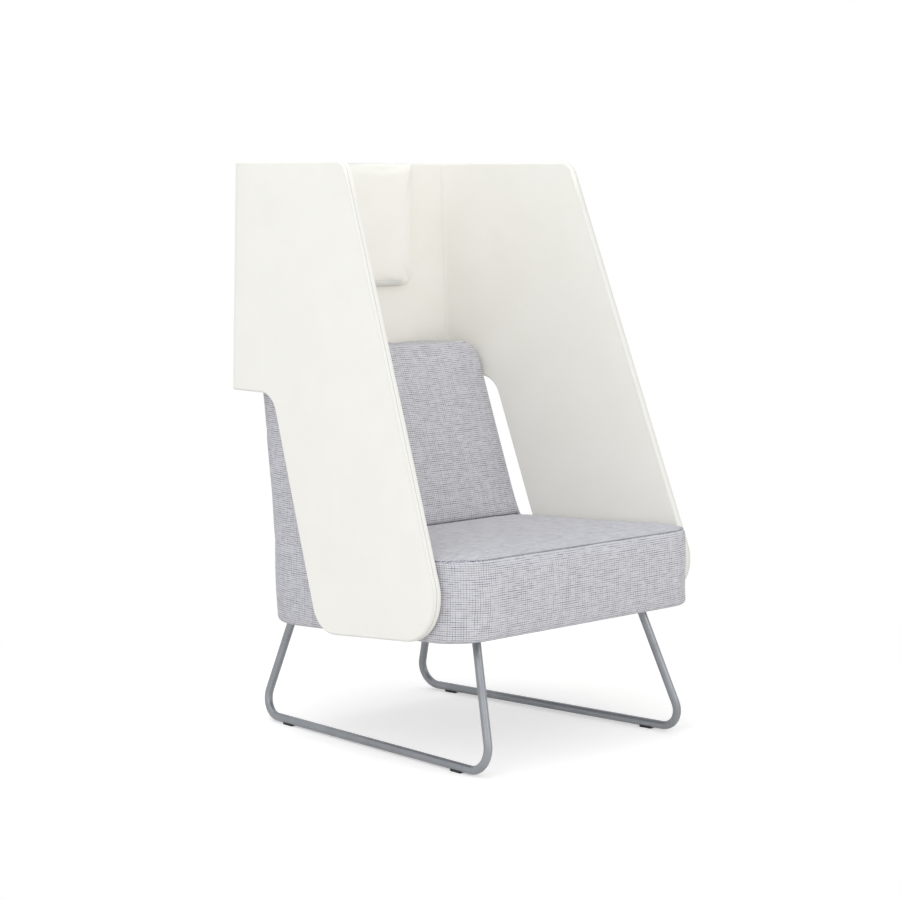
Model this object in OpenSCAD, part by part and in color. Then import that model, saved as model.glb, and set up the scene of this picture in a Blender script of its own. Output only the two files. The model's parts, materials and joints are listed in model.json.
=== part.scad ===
// High back lounge chair with an acoustic screen, on a bent tube sled base.
// Millimetres, +Z up, the front of the chair faces -Y, +X is the right of a person facing it.
// The origin is on the floor, under the middle of the chair.

/* [Overall] */
// Height from the floor to the top edge of the screen
overall_h = 1296; // [1200:1:1400]
// Distance from the origin back to the rear face of the screen
rear_y = 403; // [380:1:430]
// Half width of the screen at its rear face, at the top edge
rear_half_w = 338; // [310:1:360]
// Angle at which the sides open towards the front, in degrees
flare_a = 3.89; // [1:0.01:7]
// Angle at which the sides lean out towards the floor, in degrees
lean_a = 1.56; // [0.5:0.01:3]

/* [Screen] */
// Thickness of the upholstered screen panels
screen_t = 20; // [18:0.5:26]
// Thickness of the board inside each screen panel
screen_board_t = 12; // [9:0.5:14]
// Soft rim between the edge of a board and the edge of its panel
screen_rim = 9; // [7:0.5:14]
// Outer radius of the two rear corners, in plan
screen_corner_r = 38; // [37:0.5:42]
// Radius of the thin rounded rims of the panels
screen_edge_r = 8; // [5:0.5:8.5]
// How far each wing upholstery wraps onto the rear face
wrap_w = 46; // [30:1:70]
// Front edge of a wing at the top, forward of the origin
wing_top_front = 12.6; // [0:0.1:60]
// Front edge of a wing at the bottom, forward of the origin
wing_low_front = 381.6; // [350:0.1:400]
// Height of a wing's lower front corner
wing_low_front_z = 298; // [280:1:320]
// Lower rear corner of a wing, behind the origin
wing_low_rear = 52; // [20:1:90]
// Height of a wing's lower rear corner
wing_low_rear_z = 263; // [250:1:280]
// Neck of a wing, behind the origin
neck_rear = 231.6; // [200:0.1:250]
// Height of the lower edge of the rear part of the screen
step_z = 780; // [740:1:820]
// Corner radius of a wing at the top front
wing_top_r = 34; // [15:1:60]
// Corner radius of a wing at the lower front
wing_low_front_r = 100; // [70:1:120]
// Corner radius of a wing at the lower rear
wing_low_rear_r = 75; // [50:1:90]
// Radius of the neck fillet
neck_r = 57; // [40:1:80]

/* [Seat and back] */
// Front face of the seat, forward of the origin
seat_front = 394; // [380:1:400]
// Height of the seat's upper seam at the front
seat_top_z = 468; // [450:1:485]
// Slope of the seat top, falling to the rear, in degrees
seat_pitch_a = 2.24; // [1:0.01:4]
// Height of the underside at the front
under_z = 293; // [280:1:305]
// Slope of the underside, falling to the rear, in degrees
under_pitch_a = 3.29; // [2:0.01:4]
// Where the backrest meets the seat top, behind the origin
crease_rear = 145.5; // [120:0.5:160]
// Lean of the backrest's front face from upright, in degrees
back_lean_a = 17.82; // [14:0.01:20]
// Height of the backrest
back_top_z = 868; // [835:1:900]
// Rear face of the backrest at the underside, behind the origin
back_low_rear = 329; // [320:1:345]
// Radius of the front corners of the seat, in plan
seat_corner_r = 87; // [60:1:110]
// Radius of the rear corners of the backrest, in plan
back_corner_r = 172; // [140:1:185]
// Radius of the top corners of the backrest, seen from the front
back_top_corner_r = 48; // [36:1:110]
// Crown of the seat's top panel above its seam
seat_crown = 9; // [4:0.5:14]
// Crown of the backrest's front face
back_crown = 6; // [2:0.5:10]
// Gap between the body and the screen wings
body_gap = 4; // [2:0.5:8]
// Thickness of the padded fabric cover on the body
cover_t = 22; // [18:0.5:26]

/* [Sled base] */
// Outer diameter of the sled tube
tube_d = 19; // [16:0.5:25]
// Wall of the sled tube
tube_wall = 2; // [1.5:0.1:3]
// Radius of the tube's bends, on its centre line
bend_r = 46; // [35:1:60]
// Front corners of the runners, inward of the screen's half width at its rear
runner_front_inset = 22.6; // [8:0.1:48]
// Rear corners of the runners, inward of the screen's half width at its rear
runner_rear_inset = 82; // [63:0.1:98]
// Front corners of the runners, forward of the origin
runner_front = 412; // [400:1:420]
// Rear corners of the runners, behind the origin
runner_rear = 400; // [385:1:405]
// How far each loop leans in, from upright, in degrees
loop_lean_a = 8.92; // [5:0.01:12]
// Slope of the front legs in the plane of a loop, in degrees
front_leg_a = 19.67; // [15:0.01:22]
// Slope of the rear legs in the plane of a loop, in degrees
rear_leg_a = 17.52; // [14:0.01:20]
// Thickness of the mounting plates
plate_t = 5; // [4:0.5:6]
// Height of the floor glides below the tube
glide_h = 2.6; // [2:0.1:4]

/* [Headrest] */
// Width of the headrest pad
headrest_w = 402; // [340:1:440]
// Height of the headrest pad, as a share of the way from the backrest's top to the screen's top
headrest_share = 0.6916; // [0.62:0.0002:0.76]
// Thickness of the headrest pad
headrest_t = 26; // [20:0.5:32]
// Radius of the headrest pad's lower corners
headrest_corner_r = 38; // [25:1:60]

/* [Hidden] */
$fn = 64;

// Shared small sizes
cut = 1;                 // overrun of every cut
fit = 0.3;               // gap left round a piece held in a soft cover
bore_gap = 0.3;          // gap between a shank and its bore, on the diameter
far = 900;               // larger than any panel, for cutting solids
round_steps = 6;         // straight pieces on a quarter round
colour_cream = [0.93, 0.92, 0.89];
colour_grey = [0.76, 0.76, 0.78];
colour_steel = [0.62, 0.63, 0.65];
colour_wood = [0.80, 0.66, 0.46];
colour_foam = [0.90, 0.86, 0.66];
colour_black = [0.12, 0.12, 0.13];

// The side planes of the chair and the sloping planes of the body
flare = tan(flare_a);
lean = tan(lean_a) / cos(flare_a);
under_slope = tan(under_pitch_a);
seat_slope = tan(seat_pitch_a);
back_slope = tan(back_lean_a);
side_off = screen_t + body_gap;
crease_z = seat_top_z - (crease_rear + seat_front) * seat_slope;
back_low_z = under_z - (back_low_rear + seat_front) * under_slope;
back_high_rear = rear_y - screen_t - fit;
function half_w(y, z) = rear_half_w + (rear_y - y) * flare + (overall_h - z) * lean;
function under_at(y) = under_z - (y + seat_front) * under_slope;
function seat_at(y) = seat_top_z - (y + seat_front) * seat_slope;
function back_front_at(z) = crease_rear + (z - crease_z) * back_slope;
function back_rear_share(z) = min(1, max(0, (z - back_low_z) / (step_z - back_low_z)));
function back_rear_at(z) = back_low_rear + (back_high_rear - back_low_rear) * back_rear_share(z);
function mix(a, b, t) = a + (b - a) * t;
function unit(v) = v / norm(v);

// Points of an arc about c, and of the round that replaces the corner p of a-p-b
function arc(c, rx, ry, a0, a1, n) =
    [for (k = [0:n]) let (t = mix(a0, a1, k / n)) c + [rx * cos(t), ry * sin(t)]];
function turned(v, t) = [v.x * cos(t) - v.y * sin(t), v.x * sin(t) + v.y * cos(t)];
function rounded(a, p, b, r, n) =
    let (u = unit(a - p), v = unit(b - p), h = acos(u * v) / 2)
    let (c = p + unit(u + v) * r / sin(h), s = p + u * r / tan(h) - c, e = p + v * r / tan(h) - c)
    let (way = s.x * e.y - s.y * e.x > 0 ? 1 : -1)
    [for (k = [0:n]) c + turned(s, way * (180 - 2 * h) * k / n)];
// The corner p of an outline that runs a-p-b, moved inward by d
function inset(a, p, b, d) =
    let (u = unit(p - a), v = unit(b - p), n1 = [-u.y, u.x], n2 = [-v.y, v.x])
    p + (n1 + n2) * d / (1 + n1 * n2);

// A solid skinned over rings of n points each, with a point in the middle of each end
module skin(rings) {
    n = len(rings[0]);
    m = len(rings);
    ends = [for (r = [rings[0], rings[m - 1]]) [for (a = [0:2]) [for (p = r) p[a]] * [for (p = r) 1 / n]]];
    sides = [for (j = [0:m - 2], k = [0:n - 1]) let (q = (k + 1) % n)
        each [[j * n + k, (j + 1) * n + k, (j + 1) * n + q], [j * n + k, (j + 1) * n + q, j * n + q]]];
    floor_faces = [for (k = [0:n - 1]) [m * n, k, (k + 1) % n]];
    roof_faces = [for (k = [0:n - 1]) [m * n + 1, (m - 1) * n + (k + 1) % n, (m - 1) * n + k]];
    polyhedron(concat([for (r = rings) each r], ends), concat(sides, floor_faces, roof_faces), convexity = 8);
}

// A solid skinned over thin rings, whose ends close across their thickness
module thin_skin(rings) {
    n = len(rings[0]);
    m = len(rings);
    h = n / 2;
    sides = [for (j = [0:m - 2], k = [0:n - 1]) let (q = (k + 1) % n)
        each [[j * n + k, (j + 1) * n + k, (j + 1) * n + q], [j * n + k, (j + 1) * n + q, j * n + q]]];
    floor_faces = [for (k = [0:h - 2]) each [[k, k + 1, n - 2 - k], [k, n - 2 - k, n - 1 - k]]];
    t = (m - 1) * n;
    roof_faces = [for (k = [0:h - 2]) each [
        [t + k, t + n - 2 - k, t + k + 1], [t + k, t + n - 1 - k, t + n - 2 - k]]];
    polyhedron([for (r = rings) each r], concat(sides, floor_faces, roof_faces), convexity = 10);
}

// Frames: wing_frame puts X outward, -Y forward and Z up along the right wing's outer face,
// and corner_frame the same without the flare, along the rear face
module wing_frame() {
    translate([rear_half_w, rear_y, overall_h]) rotate([0, 0, flare_a]) rotate([0, -lean_a, 0]) children();
}
module corner_frame() {
    translate([rear_half_w, rear_y, overall_h]) rotate([0, -lean_a, 0]) children();
}
module left() {
    mirror([1, 0, 0]) children();
}
module both() {
    children();
    left() children();
}
// Place of a point of the wing's plane, given by its y and z, in the wing's own frame
function wing_z(z) = (z - overall_h) / cos(lean_a);
function wing_y(y, z) = (y - rear_y + wing_z(z) * sin(lean_a) * sin(flare_a)) / cos(flare_a);
function wing_at(p) = [wing_y(p.x, p.y), wing_z(p.y)];
// A plate along the wing's plane, from the offset a to the offset b behind the outer face
module wing_plate(outline, a, b) {
    wing_frame() translate([-b, 0, 0]) rotate([90, 0, 90])
        linear_extrude(b - a) polygon([for (p = outline) wing_at(p)]);
}
// Everything outside the side planes, at an offset inside the wing's outer face
module outside_sides(off) {
    both() wing_frame() translate([-off, -2 * far, -2 * far]) cube([far, 4 * far, 4 * far]);
}
// A bar across the chair with the outline given in y and z, cut at the side planes
module cross_bar(outline, off) {
    difference() {
        translate([-far, 0, 0]) rotate([90, 0, 90]) linear_extrude(2 * far) polygon(outline);
        outside_sides(off);
    }
}
// A cylinder that points outward along the wing's normal, from the offset a to the offset b
module wing_rod(at, d, a, b) {
    wing_frame() translate([-b, wing_y(at.x, at.y), wing_z(at.y)]) rotate([0, 90, 0])
        cylinder(d = d, h = b - a);
}

// Sled base: two bent tube loops, their mounting plates, bolts, tee nuts and glides
tube_z = tube_d / 2 + glide_h;
toe_run = runner_front + runner_rear;
runner_front_x = rear_half_w - runner_front_inset;
runner_rear_x = rear_half_w - runner_rear_inset;
toe_a = atan((runner_front_x - runner_rear_x) / toe_run);
runner_len = toe_run / cos(toe_a);
front_tan = bend_r * tan(45 + front_leg_a / 2);
rear_tan = bend_r * tan(45 + rear_leg_a / 2);
leg_reach = (under_z + tube_d) / cos(front_leg_a) / cos(loop_lean_a);
// Puts a loop's own plane in place, with Y along the runner to the rear, from its front corner
module loop_frame() {
    translate([runner_front_x, -runner_front, tube_z]) rotate([0, 0, toe_a])
        rotate([0, -loop_lean_a, 0]) children();
}
// The tube is skinned over rings along its path, in the loop's plane: down the front leg,
// round the front bend, along the runner and up the rear leg. A ring has its place and heading.
tube_sides = 20;
bend_steps = 8;
function tube_ring(p, heading, r) = [for (k = [0:tube_sides - 1]) let (t = 360 * k / tube_sides)
    [r * cos(t), p.x + r * sin(t) * sin(heading), p.y - r * sin(t) * cos(heading)]];
function bend_rings(y, a0, a1, r) = [for (k = [0:bend_steps]) let (h = mix(a0, a1, k / bend_steps))
    tube_ring([y + bend_r * sin(h), bend_r - bend_r * cos(h)], h, r)];
module tube_path(d) {
    down = -90 - front_leg_a;
    up = 90 + rear_leg_a;
    skin(concat(
        [tube_ring(leg_reach * [sin(front_leg_a), cos(front_leg_a)], down, d / 2)],
        bend_rings(front_tan, down, 0, d / 2),
        bend_rings(runner_len - rear_tan, 0, up, d / 2),
        [tube_ring([runner_len, 0] + leg_reach * [-sin(rear_leg_a), cos(rear_leg_a)], up, d / 2)]));
}
// Puts Z along the outward normal of the underside turned up, with the origin on it at y
module under_frame(x, y) {
    translate([x, y, under_at(y)]) rotate([-under_pitch_a, 0, 0]) children();
}
module sled_loop() {
    color(colour_steel) difference() {
        loop_frame() difference() {
            tube_path(tube_d);
            tube_path(tube_d - 2 * tube_wall);
        }
        under_frame(0, 0) translate([-far, -far, -plate_t]) cube(2 * far);
    }
}
module left_sled_loop() {
    left() sled_loop();
}
module right_sled_loop() {
    sled_loop();
}

// A point of a loop's plane, carried to the chair's frame
function from_loop(y, z) =
    let (x1 = -z * sin(loop_lean_a), z1 = z * cos(loop_lean_a))
    [runner_front_x + x1 * cos(toe_a) - y * sin(toe_a),
     x1 * sin(toe_a) + y * cos(toe_a) - runner_front, tube_z + z1];
function front_leg_at(l) = from_loop(l * sin(front_leg_a), l * cos(front_leg_a));
function rear_leg_at(l) = from_loop(runner_len - l * sin(rear_leg_a), l * cos(rear_leg_a));
// Where a leg's centre line, given by two of its points, meets the lower face of its plate
function leg_drop(p) = under_at(p.y) - plate_t / cos(under_pitch_a) - p.z;
function leg_end(p, q) = p + (q - p) * leg_drop(p) / (leg_drop(p) - leg_drop(q));
front_leg_end = leg_end(front_leg_at(0), front_leg_at(leg_reach));
rear_leg_end = leg_end(rear_leg_at(0), rear_leg_at(leg_reach));

// Sizes of the wooden frame that several pieces share
rail_t = 25;             // thickness of every rail
dust_t = 1.2;            // thickness of the dust cover
rail_gap = 12;           // between a cover's side wall and the side rails
front_foam_t = 40;       // between the cover's front wall and the front rail
foam_drop = 78;          // from the seat's seam plane down to the straps
strap_t = 1.8;
rear_rail_rear = 205;    // rear face of the rear seat rail, behind the origin
bottom_rail_front = 262; // front face of the back's bottom rail
bottom_rail_h = 40;
bottom_rail_inset = 76;
bottom_rail_half = rear_half_w - bottom_rail_inset;
rail_off = side_off + cover_t + rail_gap;
side_rail_in = rail_off + rail_t;
front_rail_front = cover_t + front_foam_t - seat_front;
front_rail_rear = front_rail_front + rail_t;
rear_rail_front = rear_rail_rear - rail_t;
bottom_rail_rear = bottom_rail_front + rail_t;
function rail_top_at(y) = seat_at(y) - foam_drop;
function under_line(y, up) = [y, under_at(y) + up];
function seat_line(y, drop) = [y, seat_at(y) - drop];
// A slab across the whole chair with the outline given in y and z
module side_slab(outline) {
    translate([-far, 0, 0]) rotate([90, 0, 90]) linear_extrude(2 * far) polygon(outline);
}

// Mounting plates of the base, with their bolts and threaded inserts
base_bolt_d = 8;
base_head_d = 14;
base_head_h = 4.4;
base_bolt_len = 30;
base_insert_d = 12;
base_insert_h = 16;
plate_corner = 6;
front_plate_w = 88;
front_plate_len = 50;
front_plate_shift = 5;   // of the plate's middle, forward of the leg
front_bolt_gap = 60;
rear_plate_w = 80;
rear_plate_front = 62;   // from the leg forward to the plate's front edge
rear_plate_side = 30;    // from the leg forward to the end of the plate's straight sides
rear_plate_tip = 11;     // from the leg back to the plate's rear edge
rear_tip_w = 24;
rear_bolt_gap = 52;
front_bolt_y = front_rail_front + rail_t / 2;
rear_bolt_y = bottom_rail_front + rail_t / 2;
module front_bolt_places() {
    for (i = [-1, 1]) under_frame(front_leg_end.x + i * front_bolt_gap / 2, front_bolt_y) children();
}
module rear_bolt_places() {
    for (i = [-1, 1]) under_frame(rear_leg_end.x + i * rear_bolt_gap / 2, rear_bolt_y) children();
}
module base_bore() {
    translate([0, 0, -plate_t - cut]) cylinder(d = base_bolt_d + bore_gap, h = base_bolt_len + plate_t);
}
module insert_bore() {
    base_bore();
    translate([0, 0, dust_t - cut]) cylinder(d = base_insert_d + bore_gap, h = base_insert_h + cut);
}
module front_mount_plate() {
    w = front_plate_w;
    l = front_plate_len;
    color(colour_steel) difference() {
        under_frame(front_leg_end.x, front_leg_end.y - front_plate_shift) translate([0, 0, -plate_t])
            linear_extrude(plate_t) difference() {
                square([w, l], center = true);
                for (i = [-1, 1], j = [-1, 1]) translate([i * w / 2, j * l / 2])
                    rotate(45) square(plate_corner * sqrt(2), center = true);
            }
        front_bolt_places() base_bore();
    }
}
module rear_mount_plate() {
    w = rear_plate_w / 2;
    t = rear_tip_w / 2;
    color(colour_steel) difference() {
        under_frame(rear_leg_end.x, rear_leg_end.y) translate([0, 0, -plate_t]) linear_extrude(plate_t)
            polygon([[-w, -rear_plate_front], [w, -rear_plate_front], [w, -rear_plate_side],
                [t, rear_plate_tip], [-t, rear_plate_tip], [-w, -rear_plate_side]]);
        rear_bolt_places() base_bore();
    }
}
module left_front_mount_plate() {
    left() front_mount_plate();
}
module left_rear_mount_plate() {
    left() rear_mount_plate();
}
module right_front_mount_plate() {
    front_mount_plate();
}
module right_rear_mount_plate() {
    rear_mount_plate();
}
module base_bolt() {
    translate([0, 0, -plate_t - base_head_h]) cylinder(d = base_head_d, h = base_head_h);
    translate([0, 0, -plate_t - base_head_h / 2]) cylinder(d = base_bolt_d, h = base_bolt_len);
}
module base_bolts() {
    color(colour_steel) both() {
        front_bolt_places() base_bolt();
        rear_bolt_places() base_bolt();
    }
}
module base_insert() {
    difference() {
        translate([0, 0, dust_t]) cylinder(d = base_insert_d, h = base_insert_h);
        base_bore();
    }
}
module base_inserts() {
    color(colour_steel) both() {
        front_bolt_places() base_insert();
        rear_bolt_places() base_insert();
    }
}
glide_w = 14;
glide_len = 32;
glide_wrap = 3;          // how far a glide reaches up round the tube
glide_inset = 44;        // from a bend's tangent point to the middle of a glide
module glide(y) {
    translate([runner_front_x, -runner_front, 0]) rotate([0, 0, toe_a]) difference() {
        translate([-glide_w / 2, y - glide_len / 2, 0]) cube([glide_w, glide_len, glide_h + glide_wrap]);
        translate([0, y - glide_len, tube_z]) rotate([-90, 0, 0])
            cylinder(d = tube_d + bore_gap, h = 2 * glide_len);
    }
}
module floor_glides() {
    color(colour_black) both() {
        glide(front_tan + glide_inset);
        glide(runner_len - rear_tan - glide_inset);
    }
}

// Wooden seat frame
screen_bolt_shares = [-0.61, -0.28, 0.05];   // places of the bolts, as shares of the seat's front
screen_bolt_ys = seat_front * screen_bolt_shares;
screen_bolt_rise_share = 0.45;               // their height, as a share of the rail's height
screen_bolt_d = 8;
screen_head_d = 14;
screen_head_h = 4.6;
spacer_d = 16;
insert_d = 13;
insert_len = 10.5;
insert_depth = (screen_t + screen_board_t) / 2;
module wing_bolt_places(d, a, b) {
    for (y = screen_bolt_ys)
        wing_rod([y, mix(under_at(y), rail_top_at(y), screen_bolt_rise_share)], d, a, b);
}
screw_d = 6;
screw_head_d = 10;
screw_head_h = 3;
screw_len = 55;
screw_shares = [0.25, 0.78];                 // heights of the screws, as shares of a rail's height
module seat_screws(gap) {
    for (y = [front_rail_front + rail_t / 2, rear_rail_front + rail_t / 2], s = screw_shares) {
        at = [y, mix(under_at(y), rail_top_at(y), s)];
        wing_rod(at, screw_head_d + gap, rail_off - gap, rail_off + screw_head_h + gap / 2);
        wing_rod(at, screw_d + gap, rail_off + screw_head_h / 2, rail_off + screw_len + gap);
    }
}
function rail_outline(y0, y1, up) = [under_line(y0, dust_t), under_line(y1, dust_t),
    seat_line(y1, foam_drop - up), seat_line(y0, foam_drop - up)];
module seat_rail() {
    color(colour_wood) difference() {
        intersection() {
            side_slab(rail_outline(front_rail_front, rear_rail_rear, strap_t));
            wing_frame() translate([-side_rail_in, -2 * far, -2 * far]) cube([rail_t, 4 * far, 4 * far]);
        }
        wing_bolt_places(screen_bolt_d + bore_gap, rail_off - cut, side_rail_in + cut);
        seat_screws(bore_gap);
    }
}
module left_seat_rail() {
    left() seat_rail();
}
module right_seat_rail() {
    seat_rail();
}
module front_seat_rail() {
    color(colour_wood) difference() {
        cross_bar(rail_outline(front_rail_front, front_rail_rear, 0), side_rail_in);
        both() seat_screws(bore_gap);
        both() front_bolt_places() insert_bore();
    }
}
module rear_seat_rail() {
    color(colour_wood) difference() {
        cross_bar(rail_outline(rear_rail_front, rear_rail_rear, 0), side_rail_in);
        both() seat_screws(bore_gap);
        both() seat_post_screws(bore_gap);
    }
}
block_leg = 46;
block_drop = 12;         // from the top of a rail down to a corner block
block_h = 50;
module corner_block(y, way) {
    x = half_w(y, rail_top_at(y)) - side_rail_in;
    difference() {
        translate([0, 0, rail_top_at(y) - block_drop - block_h]) linear_extrude(block_h)
            polygon([[x - block_leg, y], [x + block_leg, y], [x + block_leg, y + 2 * way * block_leg]]);
        outside_sides(side_rail_in);
    }
}
module corner_blocks() {
    color(colour_wood) both() {
        corner_block(front_rail_rear, 1);
        corner_block(rear_rail_front, -1);
    }
}
module seat_frame_screws() {
    color(colour_steel) both() seat_screws(0);
}

// Wooden back frame: two posts and three rails
post_inset = 116;        // from the wing's rear edge line in to the middle of each post
post_x = rear_half_w - post_inset;
post_t = 25;
post_drop = 27;          // from the top of the backrest down to the top of a post
back_face_drop = 45;     // from the backrest's front face back to the posts
back_rear_drop = 30;     // from the backrest's rear face in to the posts
post_foot_h = 44;        // height of the straight foot of a post
post_gap = 4;            // how far the rails stand back from the posts' front
top_rail_h = 60;
middle_rail_h = 45;
middle_rail_rise = 53.1;  // from the crease up to the middle rail
post_top = back_top_z - post_drop;
top_rail_top = post_top - post_gap;
middle_rail_low = crease_z + middle_rail_rise;
function post_front_at(z) = back_front_at(z) + back_face_drop;
top_rail_front = post_front_at(top_rail_top) + post_gap;
middle_rail_front = post_front_at(middle_rail_low + middle_rail_h) + post_gap;
post_knee_z = crease_z + (rear_rail_rear - back_face_drop - crease_rear) / back_slope;
// A screw through a joint, from its head at the origin along Z
module frame_screw(len, gap) {
    translate([0, 0, -gap]) cylinder(d = screw_head_d + gap, h = screw_head_h + 3 * gap / 2);
    cylinder(d = screw_d + gap, h = len + gap);
}
module seat_post_screws(gap) {
    for (s = screw_shares)
        translate([post_x, rear_rail_front, mix(under_at(rear_rail_front), rail_top_at(rear_rail_front), s)])
            rotate([-90, 0, 0]) frame_screw(2 * rail_t, gap);
}
module foot_screws(gap) {
    translate([post_x, bottom_rail_rear, under_at(rear_bolt_y) + dust_t + bottom_rail_h / 2])
        rotate([90, 0, 0]) frame_screw(2 * rail_t, gap);
}
module rail_screw(y, z, gap) {
    translate([post_x + post_t / 2, y, z]) rotate([0, -90, 0]) frame_screw(screw_len, gap);
}
module rail_screws(gap) {
    for (s = screw_shares) {
        rail_screw(top_rail_front + rail_t / 2, top_rail_top - s * top_rail_h, gap);
        rail_screw(middle_rail_front + rail_t / 2, middle_rail_low + s * middle_rail_h, gap);
    }
}
module back_post() {
    color(colour_wood) difference() {
        translate([post_x - post_t / 2, 0, 0]) rotate([90, 0, 90]) linear_extrude(post_t) polygon([
            under_line(rear_rail_rear, dust_t), under_line(bottom_rail_front, dust_t),
            under_line(bottom_rail_front, post_foot_h), [back_rear_at(post_top) - back_rear_drop, post_top],
            [post_front_at(post_top), post_top], [rear_rail_rear, post_knee_z]]);
        seat_post_screws(bore_gap);
        foot_screws(bore_gap);
        rail_screws(bore_gap);
    }
}
module left_back_post() {
    left() back_post();
}
module right_back_post() {
    back_post();
}
module between_posts(y, z, h) {
    translate([post_t / 2 - post_x, y, z]) cube([2 * post_x - post_t, rail_t, h]);
}
rear_bolt_inset = 188;
rear_bolt_gap_x = rear_half_w - rear_bolt_inset;   // between the bolts that hold the screen's rear
top_rail_rear = top_rail_front + rail_t;
module rear_rods(d, a, b) {
    for (i = [-1:1]) translate([i * rear_bolt_gap_x, rear_y - a, top_rail_top - top_rail_h / 2])
        rotate([90, 0, 0]) cylinder(d = d, h = b - a);
}
module back_top_rail() {
    color(colour_wood) difference() {
        between_posts(top_rail_front, top_rail_top - top_rail_h, top_rail_h);
        both() rail_screws(bore_gap);
        rear_rods(screen_bolt_d + bore_gap, 0, far);
    }
}
module back_middle_rail() {
    color(colour_wood) difference() {
        between_posts(middle_rail_front, middle_rail_low, middle_rail_h);
        both() rail_screws(bore_gap);
    }
}
module back_bottom_rail() {
    up = dust_t + bottom_rail_h;
    color(colour_wood) difference() {
        translate([-bottom_rail_half, 0, 0]) rotate([90, 0, 90]) linear_extrude(2 * bottom_rail_half)
            polygon([under_line(bottom_rail_front, dust_t), under_line(bottom_rail_rear, dust_t),
                under_line(bottom_rail_rear, up), under_line(bottom_rail_front, up)]);
        both() foot_screws(bore_gap);
        both() rear_bolt_places() insert_bore();
    }
}
module back_frame_screws() {
    color(colour_steel) both() {
        seat_post_screws(0);
        foot_screws(0);
        rail_screws(0);
    }
}

// Elastic straps that carry the foam
strap_w = 60;
strap_inset = 114;
strap_gap = (rear_half_w - strap_inset) / 2;       // between the middles of the long straps
cross_strap_ys = [for (i = [1:3]) mix(front_rail_rear, rear_rail_front, i / 4)];
back_strap_w = 50;
back_strap_shares = [0.1, 0.37, 0.63, 0.9];
module seat_long_straps() {
    color(colour_black) for (i = [-2:2]) translate([i * strap_gap - strap_w / 2, 0, 0]) rotate([90, 0, 90])
        linear_extrude(strap_w) polygon([
            seat_line(front_rail_front, foam_drop), seat_line(rear_rail_rear, foam_drop),
            seat_line(rear_rail_rear, foam_drop - strap_t), seat_line(front_rail_front, foam_drop - strap_t)]);
}
module seat_cross_straps() {
    low = foam_drop - strap_t;
    high = low - strap_t;
    color(colour_black) for (y = cross_strap_ys) let (a = y - strap_w / 2, b = y + strap_w / 2)
        cross_bar([seat_line(a, low), seat_line(b, low), seat_line(b, high), seat_line(a, high)], rail_off);
}
strap_back_t = strap_t / cos(back_lean_a);
module back_straps() {
    color(colour_black) for (s = back_strap_shares) {
        mid = mix(post_knee_z + back_strap_w / 2, top_rail_top - top_rail_h, s);
        a = mid - back_strap_w / 2;
        b = mid + back_strap_w / 2;
        translate([-post_x - post_t / 2, 0, 0]) rotate([90, 0, 90]) linear_extrude(2 * post_x + post_t)
            polygon([[post_front_at(a) - strap_back_t, a], [post_front_at(a), a], [post_front_at(b), b],
                [post_front_at(b) - strap_back_t, b]]);
    }
}

// Plan outline of the body at the height z, its right half first and then its left half.
// It keeps a distance off inside the wings' outer faces.
front_shares = [0.34, 0.68];
side_shares = [0.33, 0.66];
function plan_half(front, rear, off, z, rf, rx, ry, nf, nr) =
    let (yf = front + rf, yr = rear - ry)
    let (xf = half_w(yf, z) - off - rf / cos(flare_a), xr = half_w(yr, z) - off - rx)
    concat(
        [for (s = front_shares) [s * xf, front]],
        arc([xf, yf], rf, rf, -90, flare_a, nf),
        [for (s = side_shares) let (y = mix(yf, yr, s)) [half_w(y, z) - off, y]],
        arc([xr, yr], rx, ry, 0, 90, nr),
        [for (k = [len(front_shares) - 1:-1:0]) [front_shares[k] * xr, rear]]);
function full_plan(half) =
    concat(half, [for (k = [len(half) - 1:-1:0]) [-half[k].x, half[k].y]]);

// Room inside the covers
seat_cover_top = 8;      // thickness of the padded cover on the seat's top
back_cover_front = 10;   // on the backrest's front
back_cover_rear = 18;    // on its rear
back_cover_top = 16;     // and on its top
function cavity_plan(d) =
    let (wall = cover_t + d, rf = seat_corner_r - wall, rr = back_corner_r - wall)
    full_plan(plan_half(wall - seat_front, back_low_rear - wall, side_off + wall, seat_top_z,
        rf, rr, rr, round_steps, round_steps));
// The room's plan between a plane over the underside and a plane under the seat's seam
module seat_room(d, up, drop) {
    intersection() {
        linear_extrude(seat_top_z) polygon(cavity_plan(d));
        side_slab([under_line(-far, up), under_line(far, up), seat_line(far, drop), seat_line(-far, drop)]);
    }
}
rear_tilt_a = atan((back_high_rear - back_low_rear) / (step_z - back_low_z));
module back_room(d) {
    front = back_cover_front + d;
    rear = back_cover_rear + d;
    high = back_top_z - back_cover_top - d;
    off = side_off + cover_t + d;
    r = back_top_corner_r - cover_t;
    a = half_w(rear_rail_rear, back_low_z) - off;
    b = half_w(rear_rail_rear, high) - off;
    intersection() {
        side_slab([[back_front_at(0) + front, 0], [back_low_rear - rear, 0], [back_low_rear - rear, back_low_z],
            [back_rear_at(step_z) - rear, step_z], [back_rear_at(high) - rear, high],
            [back_front_at(high) + front, high]]);
        translate([0, far, 0]) rotate([90, 0, 0]) linear_extrude(far) polygon(concat([[-a, 0], [a, 0]],
            rounded([a, 0], [b, high], [-b, high], r, round_steps),
            rounded([b, high], [-b, high], [-a, 0], r, round_steps)));
        translate([0, back_low_rear, back_low_z]) rotate([-rear_tilt_a, 0, 0])
            translate([0, -back_low_rear, -far / 2]) linear_extrude(2 * far) polygon(cavity_plan(d));
    }
}

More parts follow.
